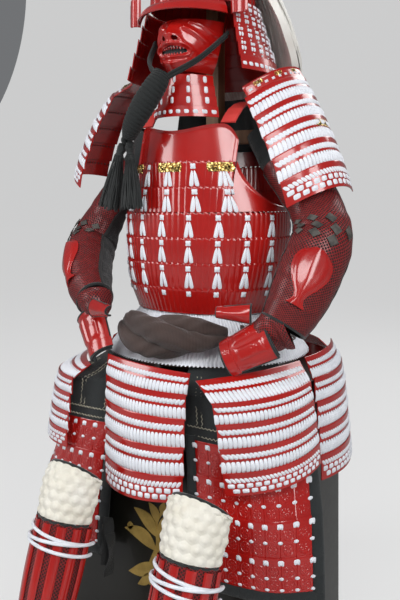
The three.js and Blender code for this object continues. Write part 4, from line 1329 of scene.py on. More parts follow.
for side, x in SIDES.items():
    form = plate_form(apron_form(x))
    dressed(plate_rows(f"apron_plates_{side}", form), red, "red_lacquer", f"thigh_plates_{side}")
    marks = []
    for place in (0.40, 0.79):
        mark = roundel()
        flat = coordinates(mark)
        place_vertices(mark, np.stack([flat[:, 0], place + (flat[:, 1] - 0.5) * 0.47, flat[:, 2]], axis=1))
        marks.append(cell_copies("marks", mark, PLATES, PLATE_ROWS, form, PLATE_ROWS, height=plate_height))
    dressed(smooth(joined(f"apron_roundels_{side}", marks), 60), red, "red_lacquer")
    tie_rows = []
    for place, wide, high in ((0.155, 0.40, 0.17), (0.60, 0.34, 0.10)):
        tie = pad("tie", wide, high, 3.0, 5, 4, 4.0 if wide > 0.35 else 1.6, at=(0.0, place))
        flat = coordinates(tie)
        if wide > 0.35:
            notch = 0.06 * np.exp(-((flat[:, 0] / 0.04) ** 2)) * (flat[:, 1] > place + 0.04)
            flat[:, 1] -= notch
        place_vertices(tie, flat)
        tie_rows.append(cell_copies("ties", tie, PLATES + 1, PLATE_ROWS, over_joints(form), PLATE_ROWS,
                                    height=plate_height))
    low_tie = pad("tie", 0.34, 0.09, 2.6, 4, 3, 2.0, at=(0.0, 0.93))
    tie_rows.append(cell_copies("ties", low_tie, PLATES + 1, 1, over_joints(form), PLATE_ROWS, PLATE_ROWS - 1,
                                height=plate_height))
    dressed(smooth(joined(f"apron_ties_{side}", tie_rows), 70), white_lace, "white_lace")

# %% [markdown]
# The border is a padded roll sewn round the plates. It is a sheet whose relief is a half round, quilted
# across every few centimetres.

# %% Padded border and ribbons
for side, x in SIDES.items():
    apron = apron_form(x)
    borders = []
    for start, end in ((0.0, 1 / 12), (11 / 12, 1.0)):
        def upright(u, v, lift, start=start, end=end):
            return apron(start + (end - start) * u, v, lift)

        def bulge(u, v):
            quilt = 1 - 0.35 * np.exp(-((((v - 243) / 31) % 1 - 0.5) / 0.10) ** 2)
            return 0.6 + 5.2 * np.sqrt(np.clip(1 - (2 * u - 1) ** 2, 0, 1)) * quilt

        borders.append(sheet("border", upright, steps(0, 1, 11), steps(244, 520, 82), 1.2, bulge,
                             size=(24, 270)))

    def along_hem(u, v, lift):
        return apron(u, 243 + 22 * v, lift)

    def hem_bulge(u, v):
        quilt = 1 - 0.35 * np.exp(-(((u * 9) % 1 - 0.5) / 0.10) ** 2)
        return 0.8 + 5.4 * np.sqrt(np.clip(1 - (2 * v - 1) ** 2, 0, 1)) * quilt

    borders.append(sheet("border", along_hem, steps(0.02, 0.98, 82), steps(0, 1, 11), 1.2, hem_bulge,
                         size=(280, 24)))
    border = joined(f"apron_border_{side}", borders)
    dressed(border, black_cloth, "black_cloth")


def ribbon_end(name, x, y, top, low, wide, turn):
    """A soft ribbon that hangs and turns a little on its way down."""
    def form(u, v, lift):
        z = top + (low - top) * v
        angle = math.radians(turn) + 0.9 * v + 0.5 * np.sin(v * 5)
        half = wide / 2 * (1 + 0.10 * np.sin(v * 9))
        return np.stack([x + 6 * np.sin(v * 4) + u * half * np.cos(angle),
                         y - 4 * np.sin(v * 3) + u * half * np.sin(angle) - 1.2 * np.cos(u * 2.5) - lift,
                         z + 0 * u], axis=-1)
    return sheet(name, form, steps(-1, 1, 7), steps(0, 1, 41), 1.0, size=(wide, top - low))


for k, (x, y, top, low, turn) in enumerate((
    (-87, -254, 330, 232, 10), (-80, -256, 300, 214, 50), (-95, -252, 310, 250, -20),
)):
    piece = ribbon_end(f"ribbon_{k}", x, y, top, low, 20, turn)
    dressed(piece, ribbon, "black_cloth")
    (top - low) / 1000 * 1.03

# %% [markdown]
# # The armour box and the stand
#
# The suit sits on its storage box of black lacquered wood: a body with rounded corners, tucked in at the
# foot, and a deep lid that comes down over it. Both start as a cube. Bevels round the upright corners and
# the foot, and an inset opens the body.

# %% Box and lid
BOX_WIDE, BOX_DEEP, BOX_Y, BOX_TOP, LID, CORNER = 486, 434, 11, 588, 96, 34
SEAM = BOX_TOP - LID


def rounded_block(name, wide, deep, low, high, corner, segments=10):
    nothing_selected()
    bpy.ops.mesh.primitive_cube_add(size=1, location=(0, BOX_Y * MM, (low + high) / 2 * MM),
                                    scale=(wide * MM, deep * MM, (high - low) * MM))
    block = named(name)
    bpy.ops.object.transform_apply(location=True, rotation=True, scale=True)
    pick(block, "EDGE", lambda x, y, z: abs(abs(x) - wide / 2) < 1 and abs(abs(y - BOX_Y) - deep / 2) < 1
         and abs(z - (low + high) / 2) < 1)
    bpy.ops.mesh.bevel(offset=corner * MM, segments=segments)
    done()
    return block


body = rounded_block("box_body_piece", BOX_WIDE, BOX_DEEP, 0, SEAM, CORNER)
pick(body, "EDGE", lambda x, y, z: z < 0.5)
bpy.ops.mesh.bevel(offset=15 * MM, segments=6)
done()
pick(body, "FACE", lambda x, y, z: z > SEAM - 0.5)
bpy.ops.mesh.inset(thickness=12 * MM)
bpy.ops.mesh.extrude_region_move(TRANSFORM_OT_translate={"value": (0, 0, -(SEAM - 14) * MM)})
done()
modify(body, "BEVEL", width=1.2 * MM, segments=2, limit_method="ANGLE", angle_limit=math.radians(50))
dressed(smooth(body, 50), black_lacquer, "box_lacquer", "box_body")

lid = rounded_block("box_lid_piece", BOX_WIDE + 8, BOX_DEEP + 8, SEAM - 14, BOX_TOP, CORNER + 4)
pick(lid, "EDGE", lambda x, y, z: z > BOX_TOP - 0.5)
bpy.ops.mesh.bevel(offset=6 * MM, segments=4)
done()
pick(lid, "FACE", lambda x, y, z: z < SEAM - 13.5)
bpy.ops.mesh.inset(thickness=3.4 * MM)
bpy.ops.mesh.extrude_region_move(TRANSFORM_OT_translate={"value": (0, 0, 15.5 * MM)})
bpy.ops.mesh.inset(thickness=12 * MM)
bpy.ops.mesh.extrude_region_move(TRANSFORM_OT_translate={"value": (0, 0, (LID - 14) * MM)})
done()
modify(lid, "BEVEL", width=0.8 * MM, segments=2, limit_method="ANGLE", angle_limit=math.radians(50))
dressed(smooth(lid, 50), black_lacquer, "box_lacquer", "box_lid")
node_finish("stand_frame", wood)
node_finish("shin_stand_right", wood)
node_finish("shin_stand_left", wood)

# %% [markdown]
# The front of the box carries a gold leaf ornament. Real boxes often show a crest or a word there, and
# this one shows a plain sprig: a stem, five pairs of leaves and three buds. Each leaf is a circle that is
# drawn out to a point at both ends and then bent along the stem's curve.

# %% Gold leaf sprig
FRONT_Y = BOX_Y - BOX_DEEP / 2


def leaf(x, z, length, wide, angle, curl=0.0, split=0.0):
    nothing_selected()
    bpy.ops.mesh.primitive_circle_add(vertices=40, radius=1, fill_type="NGON")
    blade = named("leaf")
    u, v, _ = coordinates(blade).T
    along = (u + 1) / 2
    half = wide / 2 * np.sin(np.pi * np.clip(along, 0, 1) ** 0.85) ** 0.9
    lx = along * length
    lz = np.sign(v) * half * (np.abs(v) > 1e-6) + curl * length * (along - along**2) * 4
    lz += split * half * np.cos(along * 7)
    c, s = math.cos(math.radians(angle)), math.sin(math.radians(angle))
    place_vertices(blade, np.stack([x + lx * c - lz * s, 0 * lx + FRONT_Y - 0.9, z + lx * s + lz * c],
                                   axis=1) * MM)
    modify(blade, "SOLIDIFY", thickness=1.2 * MM, offset=0)
    return blade


def stem(points, wide):
    points = np.asarray(points, float)

    def form(u, v, lift):
        middle = hermite(np.arange(len(points)), points, v)
        ahead = unit(hermite(np.arange(len(points)), points, v + 0.02)
                     - hermite(np.arange(len(points)), points, v - 0.02))
        half = wide / 2 * (1.15 - 0.75 * v / (len(points) - 1))
        side = np.stack([-ahead[..., 1], ahead[..., 0]], axis=-1) * (u * half)[..., None]
        p = middle + side
        return np.stack([p[..., 0], 0 * u + FRONT_Y - 0.3 - lift, p[..., 1]], axis=-1)
    return sheet("stem", form, [-1, 0, 1], steps(0, len(points) - 1, 40), 1.0)


sprig = [stem([(-18, 190), (-12, 232), (4, 276), (0, 318), (14, 344)], 13)]
for x, z, length, wide, angle, curl in (
    (-10, 236, 66, 26, 208, 0.10), (-8, 240, 70, 28, -18, -0.12),
    (0, 264, 84, 30, 160, -0.12), (2, 266, 88, 32, 12, 0.12),
    (2, 292, 74, 28, 140, -0.10), (3, 296, 76, 28, 38, 0.10),
    (4, 320, 44, 20, 120, -0.10), (14, 340, 26, 17, 78, 0.0),
    (-16, 214, 42, 18, 226, 0.12), (-14, 212, 46, 18, -44, -0.12),
):
    sprig.append(leaf(x, z, length, wide, angle, curl))
for x, z, r in ((-64, 300, 8), (72, 314, 8.5), (58, 226, 7)):
    sprig.append(leaf(x - r, z, 2 * r, 2 * r, 0))
gold = joined("gold_sprig", sprig)
dressed(gold, gold_leaf, "brass")
print("sprig, mm:", np.round(np.ptp(coordinates(gold), axis=0) / MM))

# %% [markdown]
# # Sleeves and hand armour
#
# A sleeve is a long bag of black cloth. Its outer face carries red-lacquered mail, with a black braid
# sewn along the mail's edge and small black lozenges round the elbow. A gourd-shaped plate covers the
# forearm, and shaped plates cover the hand and the thumb.
#
# The sleeve follows a table of stations from the shoulder to the wrist. Its folds are a relief: they lie
# across the sleeve, deepest inside the elbow.

# %% Sleeve forms
ARM = {
    "left": [(150, 12, 1128, 54, 42), (190, 4, 1066, 58, 42), (238, -16, 1010, 58, 42),
             (281, -38, 955, 56, 44),
             (302, -62, 898, 60, 54), (290, -102, 832, 61, 55), (274, -132, 776, 55,
                                                                 50), (256, -154, 732, 46, 38)],
    "right": [(150, 12, 1128, 54, 42), (186, 4, 1064, 58, 42), (224, -14, 1004, 58, 42),
              (256, -34, 944, 56, 44),
              (276, -62, 876, 60, 54), (258, -104, 828, 60, 54), (224, -142, 786, 54,
                                                                  50), (184, -174, 754, 44, 38)],
}
WRIST, GOURD_CROWN = 7, 0.17
MAIL_EDGES = (-0.08, 0.44)  # the mail's reach round the sleeve, as shares of a turn
FINGERS = {"left": unit([-0.84, -0.26, -0.47]), "right": unit([-0.55, -0.26, -0.79])}
HAND_BACK = {"left": np.array([0.1, -0.86, 0.5]), "right": np.array([0.5, -0.75, 0.43])}


def sleeve_form(side):
    arm = np.array(ARM[side], float)
    return mirrored(sweep(arm[:, :3], (0.8, -0.6, 0), arm[:, 3], arm[:, 4]), SIDES[side])


def folds(u, v):
    """Soft folds across a sleeve, in mm: deep inside the elbow, shallow on the outer side."""
    bend = np.exp(-((v - 4.2) / 1.1) ** 2)
    inside = 0.5 + 0.5 * np.cos(2 * np.pi * (u - 0.68))
    wave = np.sin(v * 9 + 1.6 * np.sin(u * 2 * np.pi)) + 0.5 * np.sin(v * 17 + u * 12)
    return (0.5 + 1.1 * bend * inside) * wave * np.clip((WRIST - v) * 2, 0, 1)


for side in SIDES:
    form = sleeve_form(side)
    sleeve = sheet(f"sleeve_cloth_{side}", form, steps(0, 1, 49), steps(0, WRIST, 120), 2.0, folds, ring=True,
                   size=(350, 560))
    dressed(sleeve, black_cloth, "black_cloth", f"sleeve_{side}")
    mail_piece = sheet(f"sleeve_mail_{side}", form, steps(*MAIL_EDGES, 40), steps(1.2, WRIST - 0.03, 110),
                       0.8,
                       lambda u, v: folds(u, v) + 1.9, size=(182, 440))
    dressed(mail_piece, red_mail, "red_lacquer")
    lines = []
    for edge in MAIL_EDGES:
        down = steps(1.2, WRIST - 0.05, 70)

        def strip(u, v, lift, edge=edge, down=down):
            wander = np.interp(v, down, 0.012 * np.sin(down * 2.2))
            return form(edge + wander + u * 0.012, v, lift)

        lines.append(sheet("braid", strip, steps(-1, 1, 5), down, 1.0,
                           lambda u, v: folds(u * 0, v) * 0.6 + 2.6 + 1.4 * (1 - u * u), size=(8, 440)))
    cuff = sheet("braid", form, steps(0, 1, 49), [WRIST - 0.10, WRIST - 0.08, WRIST - 0.05, WRIST - 0.02,
                                                  WRIST], 3.2,
                 lambda u, v: 1.2 + 2.0 * np.sin(np.pi * np.clip((v - WRIST + 0.1) / 0.1, 0, 1)), ring=True,
                 size=(350, 8))
    dressed(joined(f"sleeve_braid_{side}", lines + [cuff]), black_braid, "black_cloth")

# %% [markdown]
# The lozenges round the elbow are small padded diamonds of black leather, sewn on in three columns. The
# forearm plate is a gourd: broad at the elbow, waisted, and wider again at the wrist, with raised ribs
# and a rolled rim.

# %% Lozenges and forearm plates
def lozenge():
    nothing_selected()
    bpy.ops.mesh.primitive_circle_add(vertices=24, radius=0.5, fill_type="TRIFAN")
    piece = named("lozenge")
    x, y, _ = coordinates(piece).T
    pull = 0.5 / np.maximum(np.abs(x) + np.abs(y), 0.5)
    place_vertices(piece, np.stack([0.5 + x * pull, 0.5 + y * pull, 0 * x], axis=1))
    modify(piece, "SOLIDIFY", thickness=2.0, offset=1)
    x, y, z = coordinates(piece).T
    r = np.abs(x - 0.5) + np.abs(y - 0.5)
    place_vertices(piece, np.stack([x, y, z * (1 + 0.6 * np.exp(-(r / 0.12) ** 2))], axis=1))
    return piece


def plate_rim(form, outline, wide=1.6, lift=1.0, name="rim"):
    """A round cord along a path of (across, down) on a form, as a rolled rim or a sewn edging."""
    outline = np.asarray(outline, float)
    middle = np.asarray(form(outline[:, 0], outline[:, 1], 0 * outline[:, 0] + lift))
    closed = np.linalg.norm(middle[0] - middle[-1]) < 1.0
    ahead = unit(np.gradient(middle, axis=0))
    out = unit(np.asarray(form(outline[:, 0], outline[:, 1], 0 * outline[:, 0] + lift + 1)) - middle)
    side = unit(np.cross(ahead, out))
    count = len(outline)
    nothing_selected()
    bpy.ops.mesh.primitive_grid_add(x_subdivisions=8, y_subdivisions=count - 1, size=2)
    tube = named(name)
    flat = coordinates(tube)
    turn = (flat[:, 0] + 1) * np.pi
    j = np.rint((flat[:, 1] + 1) / 2 * (count - 1)).astype(int)
    points = middle[j] + wide * (np.cos(turn)[:, None] * side[j] + np.sin(turn)[:, None] * out[j])
    place_vertices(tube, points * MM)
    pick(tube, "VERT", lambda *p: True)
    bpy.ops.mesh.remove_doubles(threshold=2e-5)
    if not closed:
        bpy.ops.mesh.select_all(action="DESELECT")
        bpy.ops.mesh.select_non_manifold()
        bpy.ops.mesh.edge_face_add()
        bpy.ops.mesh.select_all(action="SELECT")
    bpy.ops.mesh.normals_make_consistent(inside=False)
    done()
    return smooth(tube, 60)


GOURD = Table([4.6, 4.78, 5.1, 5.5, 5.85, 6.0, 6.22], half=[0.028, 0.085, 0.105, 0.075, 0.035, 0.03, 0.055])
for side, x in SIDES.items():
    form = sleeve_form(side)
    spots = []
    for row, v in enumerate((3.62, 3.92, 4.2)):
        for column, u in enumerate((0.02, 0.115, 0.21)):
            spots.append((u + (0.012 if row % 2 else 0), v + 0.04 * column, 0.064, 0.30, 0))
    spots.append((0.31, 3.95, 0.064, 0.30, 0))
    patches = laid_copies("elbow", lozenge(), spots, lambda u, v, lift: form(u, v, lift + 3.6 + 0 * u))
    dressed(smooth(joined(f"elbow_lozenges_{side}", [patches]), 40), hinge_leather, "black_cloth")

    def gourd(u, v, lift):
        return form(GOURD_CROWN + u * GOURD("half", v), v, lift + 3.4 + 6.5 * (1 - u * u))

    def ribs(u, v):
        rim = 1.5 * np.exp(-((1 - np.abs(u)) / 0.08) ** 2)
        return 0.7 * np.cos(u * 3 * np.pi) * np.exp(-((v - 5.1) / 0.5) ** 2) + rim

    across = np.concatenate([[-1, -0.97, -0.93], steps(-0.86, 0.86, 23), [0.93, 0.97, 1]])
    plate = sheet(f"gourd_plate_{side}", gourd, across, steps(4.6, 6.22, 40), 2.0, ribs)
    dressed(plate, red, "red_lacquer", f"forearm_plate_{side}")

# %% [markdown]
# The hand plate is one sheet of iron that arches over the back of the hand. A smith raises two panels on
# it from behind. A round end plate lies over the knuckles, and black cord edges everything.

# %% Hand and thumb plates
def hand_frame(side):
    wrist = np.array(ARM[side][WRIST][:3], float)
    fingers = FINGERS[side]
    back = HAND_BACK[side]
    back = unit(back - fingers * np.dot(back, fingers))
    return wrist, fingers, back, np.cross(fingers, back)


def hand_form(side):
    wrist, fingers, back, thumbwards = hand_frame(side)
    x = SIDES[side]

    def form(u, t, lift):
        u, t, lift = np.broadcast_arrays(np.asarray(u, float), np.asarray(t, float), np.asarray(lift, float))
        half = 45 - 9 * t
        angle = np.radians(82) * u
        p = (wrist + fingers * (26 + 96 * t)[..., None]
             + thumbwards * ((half + lift) * np.sin(angle) - 12)[..., None]
             + back * ((30 + lift) * np.cos(angle) + 6)[..., None])
        return p * np.array([x, 1, 1])
    return form


def thumb_form(side):
    wrist, fingers, back, thumbwards = hand_frame(side)
    x = SIDES[side]
    root = wrist + fingers * 40 + thumbwards * 36 + back * 37
    along = unit([-0.93, -0.34, 0.02])
    up = unit(np.array([0, 0, 1]) - along * along[2])
    out = np.cross(up, along)
    out = -out if out[1] > 0 else out

    def form(u, t, lift):
        u, t, lift = np.broadcast_arrays(np.asarray(u, float), np.asarray(t, float), np.asarray(lift, float))
        half = 19 - 9 * t
        angle = np.radians(85) * u
        p = (root + along * (66 * t)[..., None] + up * ((half + lift) * np.sin(angle))[..., None]
             + out * ((14 + lift) * np.cos(angle))[..., None])
        return p * np.array([x, 1, 1])
    return form


def panel(u, t, centre, reach, high, corner=0.12):
    """A raised panel with soft edges: its height at (u, t)."""
    du = (np.abs(u - centre[0]) - reach[0]) / corner
    dt = (np.abs(t - centre[1]) - reach[1]) / corner
    out = np.maximum(du, dt)
    return high * 0.5 * (1 - np.tanh(out * 3))


def flower(u, t, centre, size, ratio=1.0):
    """A small generic blossom in low relief, five round petals and a boss."""
    x, y = (u - centre[0]) * ratio / size, (t - centre[1]) / size
    r, a = np.hypot(x, y), np.arctan2(y, x)
    petals = np.exp(-((r - 0.62) / 0.26) ** 2) * (0.55 + 0.45 * np.cos(5 * a))
    return petals + 0.9 * np.exp(-((r / 0.2) ** 2))


for side in SIDES:
    form = hand_form(side)
    wrist, fingers, back, thumbwards = hand_frame(side)
    cuff_line = [wrist - fingers * 6, wrist + fingers * 16 + back * 3,
                 wrist + fingers * 44 + back * 8 - thumbwards * 10]
    cuff_form = mirrored(sweep(cuff_line, (0.8, -0.6, 0), [47, 43, 34], [40, 34, 22]), SIDES[side])
    cuff = sheet(f"mail_cuff_{side}", cuff_form, steps(0, 1, 41), steps(0, 2, 24), 1.4,
                 lambda u, v: 0.9 * np.sin(v * 9 + 2 * np.sin(u * 6.28)), ring=True, size=(260, 60))
    dressed(cuff, red_mail, "red_lacquer")

    def hand_relief(u, t):
        edge = 1.4 * np.exp(-((1 - np.abs(u)) / 0.05) ** 2)
        raised = sum(panel(u, t, (middle, 0.42), (0.20, 0.27), 2.6, 0.10) for middle in (-0.28, 0.34))
        marks = 0.8 * sum(flower(u, t, (middle, 0.34), 0.09, 0.6) for middle in (-0.28, 0.34))
        end = 1.6 * (t > 0.80) + 0.9 * flower(u, t, (0.0, 0.90), 0.07, 0.6)
        return 0.2 + edge + raised + marks + end

    across = np.concatenate([[-1, -0.975, -0.94], steps(-0.9, 0.9, 73), [0.94, 0.975, 1]])
    down = np.concatenate([steps(0, 0.76, 48), [0.785, 0.80, 0.815], steps(0.83, 1.0, 16)])
    plate = sheet(f"hand_plate_piece_{side}", form, across, down, 2.0, hand_relief)
    dressed(plate, red, "red_lacquer", f"hand_plate_{side}")

    outline = ([(u, 0.0) for u in steps(-1, 1, 30)] + [(1.0, t) for t in steps(0, 1, 24)]
               + [(u, 1.0) for u in steps(1, -1, 30)] + [(-1.0, t) for t in steps(1, 0, 24)])
    edging = [plate_rim(form, outline, 2.6, -0.8, "edging")]
    thumb = thumb_form(side)

    def thumb_relief(u, t):
        keel = 2.6 * np.exp(-((u / 0.22) ** 2)) * np.sin(np.pi * np.clip(t * 1.1, 0, 1))
        return 0.2 + keel + 1.2 * (t > 0.82)

    thumb_plate = sheet(f"thumb_plate_piece_{side}", thumb, steps(-1, 1, 21), steps(0, 1, 25), 2.0, thumb_relief)
    dressed(thumb_plate, red, "red_lacquer", f"thumb_plate_{side}")
    edging.append(plate_rim(thumb, [(1.0, t) for t in steps(0, 1, 16)] + [(u, 1.0) for u in steps(1, -1, 16)]
                            + [(-1.0, t) for t in steps(1, 0, 16)] + [(u, 0.0) for u in steps(-1, 1, 16)],
                            2.2, -0.8, "edging"))
    dressed(joined(f"hand_edging_{side}", edging), black_braid, "black_cloth")
    # The black lining that the plates are sewn to shows past their edges and holds the fingers.
    lining = sheet(f"hand_lining_{side}", lambda u, t, lift: form(u * 1.03, -0.04 + t * 1.10, lift - 4.4),
                   steps(-1, 1, 31), steps(0, 1, 25), 1.6, lambda u, t: 0.5 * np.sin(t * 30) * np.cos(u * 5),
                   size=(140, 106))
    dressed(lining, black_cloth, "black_cloth")

# %% [markdown]
# # Shoulder guards
#
# Each shoulder guard is five lames laced close together, like a skirt panel, so the same boards, laces
# and knots are laid on a new form. A short crown plate leans in over the shoulder at its top.

# %% Shoulder guards
GUARD = {
    "left": dict(corners=[(126, -64, 1188), (202, 84, 1248), (245, -112, 958), (326, 52, 992)], bow=(34, 54),
                 crown=(32, 0.35, 0.62)),
    "right": dict(corners=[(206, -74, 1214), (244, 88, 1244), (274, -116, 1003), (326, 52, 1034)],
                  bow=(28, 46),
                  crown=(62, 0.9, 0.4)),
}


def guard_form(side):
    top_front, top_rear, hem_front, hem_rear = np.array(GUARD[side]["corners"], float)
    bow, bow_hem = GUARD[side]["bow"]
    down, back = unit(hem_front + hem_rear - top_front - top_rear), unit(top_rear - top_front)
    out = unit(np.cross(down, back))
    out = out if out[0] > 0 else -out

    def form(u, t, lift):
        u, t, lift = np.broadcast_arrays(np.asarray(u, float), np.asarray(t, float), np.asarray(lift, float))
        front = top_front + (hem_front - top_front) * t[..., None]
        rear = top_rear + (hem_rear - top_rear) * t[..., None]
        rise = (bow + (bow_hem - bow) * np.clip(t, 0, 2) ** 0.6) * (1 - u * u) + 48 * t * (1 - t) + lift
        p = front + (rear - front) * ((1 + u) / 2)[..., None] + out * rise[..., None]
        return p * np.array([SIDES[side], 1, 1])
    return form


for side, x in SIDES.items():
    form = guard_form(side)
    dressed(lacquer_boards(f"shoulder_lames_{side}", form), red, "red_lacquer", f"shoulder_guard_{side}")
    dressed(close_lacing(f"shoulder_lacing_{side}", form, 88), white_lace, "white_lace")
    # Inside, only the ends of the laces show: rows of small tips on the bare lacquer, in a darker copy of the
    # red lacquer that paints the shade inside the guard.
    tips = cell_copies("tips", pad("tip", 0.5, 0.10, 1.4, 2, 3, 2.4, at=(0.5, 0.3)), 22, 5,
                       lambda u, t, lift: form(u, t, -lift - 1.6), height=lambda s: -board_lift(s) + 2.4)
    dressed(smooth(joined(f"shoulder_lace_tips_{side}", [tips]), 60), shaded_red, "red_lacquer")
    long, inward, up = GUARD[side]["crown"]

    def crown(u, h, lift, form=form, inward=inward, up=up, x=x):
        step = np.stack(np.broadcast_arrays(-x * inward * h, 0 * h, up * h + 1), axis=-1)
        return form(u * 0.94, 0 * u, lift + 1) + step

    piece = sheet(f"shoulder_crown_piece_{side}", crown, steps(-1, 1, 41), steps(0, long, 14), 2.2,
                  lambda u, h, long=long: 1 + 2.4 * np.exp(-((long - h)
                                                             / 3.0) ** 2) + 1.5 * (np.abs(u) > 0.97))
    dressed(piece, red, "red_lacquer", f"shoulder_crown_{side}")
    row = [(u, long * 0.35, 0.10, 9, 0) for u in steps(-0.85, 0.85, 9)]
    ties = laid_copies("crown_ties", square_tie(), row, lambda u, h, lift: crown(u, h, lift + 1.2))
    dressed(smooth(joined(f"shoulder_crown_ties_{side}", [ties]), 60), white_lace, "white_lace")
    gilded = [fitting("gilt", 22, long * 0.4, lambda u, h, lift: crown(u, h, lift), at, long * 0.66,
                      1 / 88, 1)
              for at in (-0.62, 0.0, 0.62)]
    dressed(joined(f"shoulder_fittings_{side}", gilded), gilt, "brass")


def ring_place(u, v, lift):
    return guard_form("left")(u, v / 230, lift + 3)


dressed(fitting("guard_fitting", 46, 15, ring_place, 0.50, 108, 1 / 88), gilt, "brass")

# %% [markdown]
# # Helmet and neck guard
#
# The bowl is made of riveted plates, and a low rib shows at each joint. A grid ring takes the bowl's profile
# from a short table, and its relief raises the ribs. The visor is a bent peak with a rolled edge, and the finial
# on top keeps its CAD shape and takes the gilt finish.

# %% Helmet bowl, visor and finial
HELMET = dict(y=-15, rim=1396, a=113, b=132, high=139)
SKULL = Table([0, 45, 85, 115, 132, 139], share=[1, 0.965, 0.83, 0.6, 0.36, 0.1])


def skull(u, rise, lift):
    share, turn = SKULL("share", rise), 2 * np.pi * u
    return np.stack([(HELMET["a"] * share + lift) * np.sin(turn),
                     HELMET["y"] - (HELMET["b"] * share + lift) * np.cos(turn),
                     HELMET["rim"] + rise + lift * (1 - share)], axis=-1)


bowl = sheet("helmet_bowl_piece", skull, steps(0, 1, 193), steps(0, 139, 36), 2.2,
             lambda u, v: 0.4 + 1.6 * np.exp(-(((u * 32) % 1 - 0.5) / 0.07) ** 2) * (v < 125), ring=True)
dressed(bowl, red, "red_lacquer", "helmet_bowl")
node_finish("helmet_finial", gilt)


def visor_form(degrees, t, lift):
    flat = np.cos(np.radians(degrees))
    swell = 7 * np.sin(np.pi * t)
    reach = (6 + 34 * flat) * (1 - t) + 1.2 * t + swell * 0.4
    drop = (30 + 12 * (1 - flat)) * (1 - t) - lift
    return oval(degrees, HELMET["rim"] - 1 - drop + swell, HELMET["a"], HELMET["b"], HELMET["b"],
                HELMET["y"], reach)


def visor_relief(u, t):
    edge, line = np.exp(-((t / 0.05) ** 2)), np.exp(-((t - 0.35) / 0.03) ** 2)
    return 0.4 + 2.6 * edge + 0.8 * line


visor_lines = np.concatenate([[0, 0.02, 0.05, 0.09], steps(0.14, 1, 22)])
visor = sheet("visor_piece", visor_form, steps(-54, 54, 61), visor_lines, 2.2, visor_relief)
dressed(visor, red, "red_lacquer", "helmet_visor")

# %% [markdown]
# The neck guard flares from the rim in five glossy lames, tied with spaced pairs of laces. Its foremost
# parts turn back beside the visor as two smooth, round ears.

# %% Neck guard and turnbacks
NECK_Z, NECK_TOP, FACE_ANGLE = 1246, 1400, 60
NECK = Table([NECK_Z, NECK_TOP], a=[166, 119], front=[182, 138], back=[188, 138])


def neck_form(u, t, lift):
    z = NECK_TOP + (NECK_Z - NECK_TOP) * t
    degrees = 180 + u * (180 - FACE_ANGLE)
    return oval(degrees, z, NECK("a", z), NECK("front", z), NECK("back", z), HELMET["y"], lift)


neck = lacquer_boards("neck_guard_lames", neck_form)
dressed(neck, red, "red_lacquer", "neck_guard")
ties, NECK_COLUMNS = [], 26
for place, wide, high in ((0.16, 0.20, 0.22), (0.52, 0.18, 0.30), (0.86, 0.13, 0.12)):
    for shift in (-0.13, 0.13) if wide > 0.15 else (0.0,):
        ties.append(cell_copies("ties", pad("tie", wide, high, 2.8, 4, 4, 4.0, at=(0.5 + shift, place)),
                                NECK_COLUMNS, LAMES - 1, neck_form))
ties.append(cell_copies("squares", pad("square", 0.74, 0.30, 3.0, 4, 4, 4.0, at=(0.5, 0.62)), 44, 1,
                        neck_form,
                        LAMES, LAMES - 1))
dressed(smooth(joined("neck_lacing", ties), 70), white_lace, "white_lace")

for side, x in SIDES.items():
    def ear(t, z, lift, x=x):
        a, b, c = np.array([110, -92.0]), np.array([126, -128.0]), np.array([148, -90.0])
        t = np.asarray(t, float)[..., None]
        p = a * (1 - t) ** 2 + 2 * b * t * (1 - t) + c * t**2
        d = unit(2 * (b - a) * (1 - t) + 2 * (c - b) * t)
        p = p + np.stack([d[..., 1], -d[..., 0]], axis=-1) * np.asarray(lift)[..., None]
        round_end = 8 * np.clip((t[..., 0] - 0.6) / 0.4, 0, 1) ** 2
        z = np.where(z > 1393, z - round_end, z + round_end)
        return np.stack([x * p[..., 0], p[..., 1], z], axis=-1)

    piece = sheet(f"turnback_piece_{side}", ear, steps(0.12, 1, 31), steps(1362, 1424, 25), 2.2,
                  lambda t, z: 0.2 + 1.4 * np.exp(-((1 - t) / 0.04) ** 2))
    dressed(piece, red, "red_lacquer", f"turnback_{side}")

# %% [markdown]
# # The mantle of hair
#
# Long white hair hangs from the crown down the back. A smooth shell gives the mass, and some two hundred
# tapered locks lie over it. Each lock is a narrow grid that widens, wavers and comes to a point.

# %% Hair
HAIR = Table([1120, 1200, 1290, 1400, 1480, 1545, 1566], a=[214, 222, 214, 178, 138, 76, 50],
             b=[222, 232, 226, 196, 158, 88, 60], open=[142, 134, 116, 100, 96, 92, 90])


def hair_form(share, z, lift):
    return oval(180 + share * (180 - HAIR("open", z)), z, HAIR("a", z), HAIR("b", z), HAIR("b", z),
                HELMET["y"], lift)


shell = sheet("hair_shell", hair_form, steps(-1, 1, 121), steps(1566, 1124, 80), 16.0,
              lambda u, v: -5 + 2.2 * np.sin(u * 75 + 2 * np.sin(v
                                                                 * 0.02)) + 1.2 * np.sin(u * 173 + v * 0.03),
              size=(620, 470))
locks = []
for k in range(190):
    middle, start = rng.uniform(-0.99, 0.99), rng.choice([1562, 1520, 1420, 1330, 1250])
    end = max(start - rng.uniform(170, 300), 1096)
    wide, phase, sway = rng.uniform(0.018, 0.038), rng.uniform(0, 6), rng.uniform(-0.02, 0.02)

    def lock(u, v, lift, middle=middle, start=start, end=end, wide=wide, phase=phase, sway=sway):
        taper = np.sin(np.pi * np.clip(v * 0.86 + 0.12, 0, 1)) ** 0.6 * (1 - v**6)
        drift = sway * np.sin(v * 4 + phase)
        return hair_form(middle + drift + u * wide * taper, start + (end - start) * v,
                         lift + 3 * np.sin(v * 5 + phase))

    locks.append(sheet("lock", lock, [-1, -0.5, 0, 0.5, 1], steps(0, 1, 13), 0, lambda u,
                       v: 4.0 * (1 - u * u) - 1,
                       size=(9, 220)))
mantle = joined("hair_piece", [shell] + locks)
dressed(smooth(mantle, 70), hair, "white_hair", "hair_mantle")

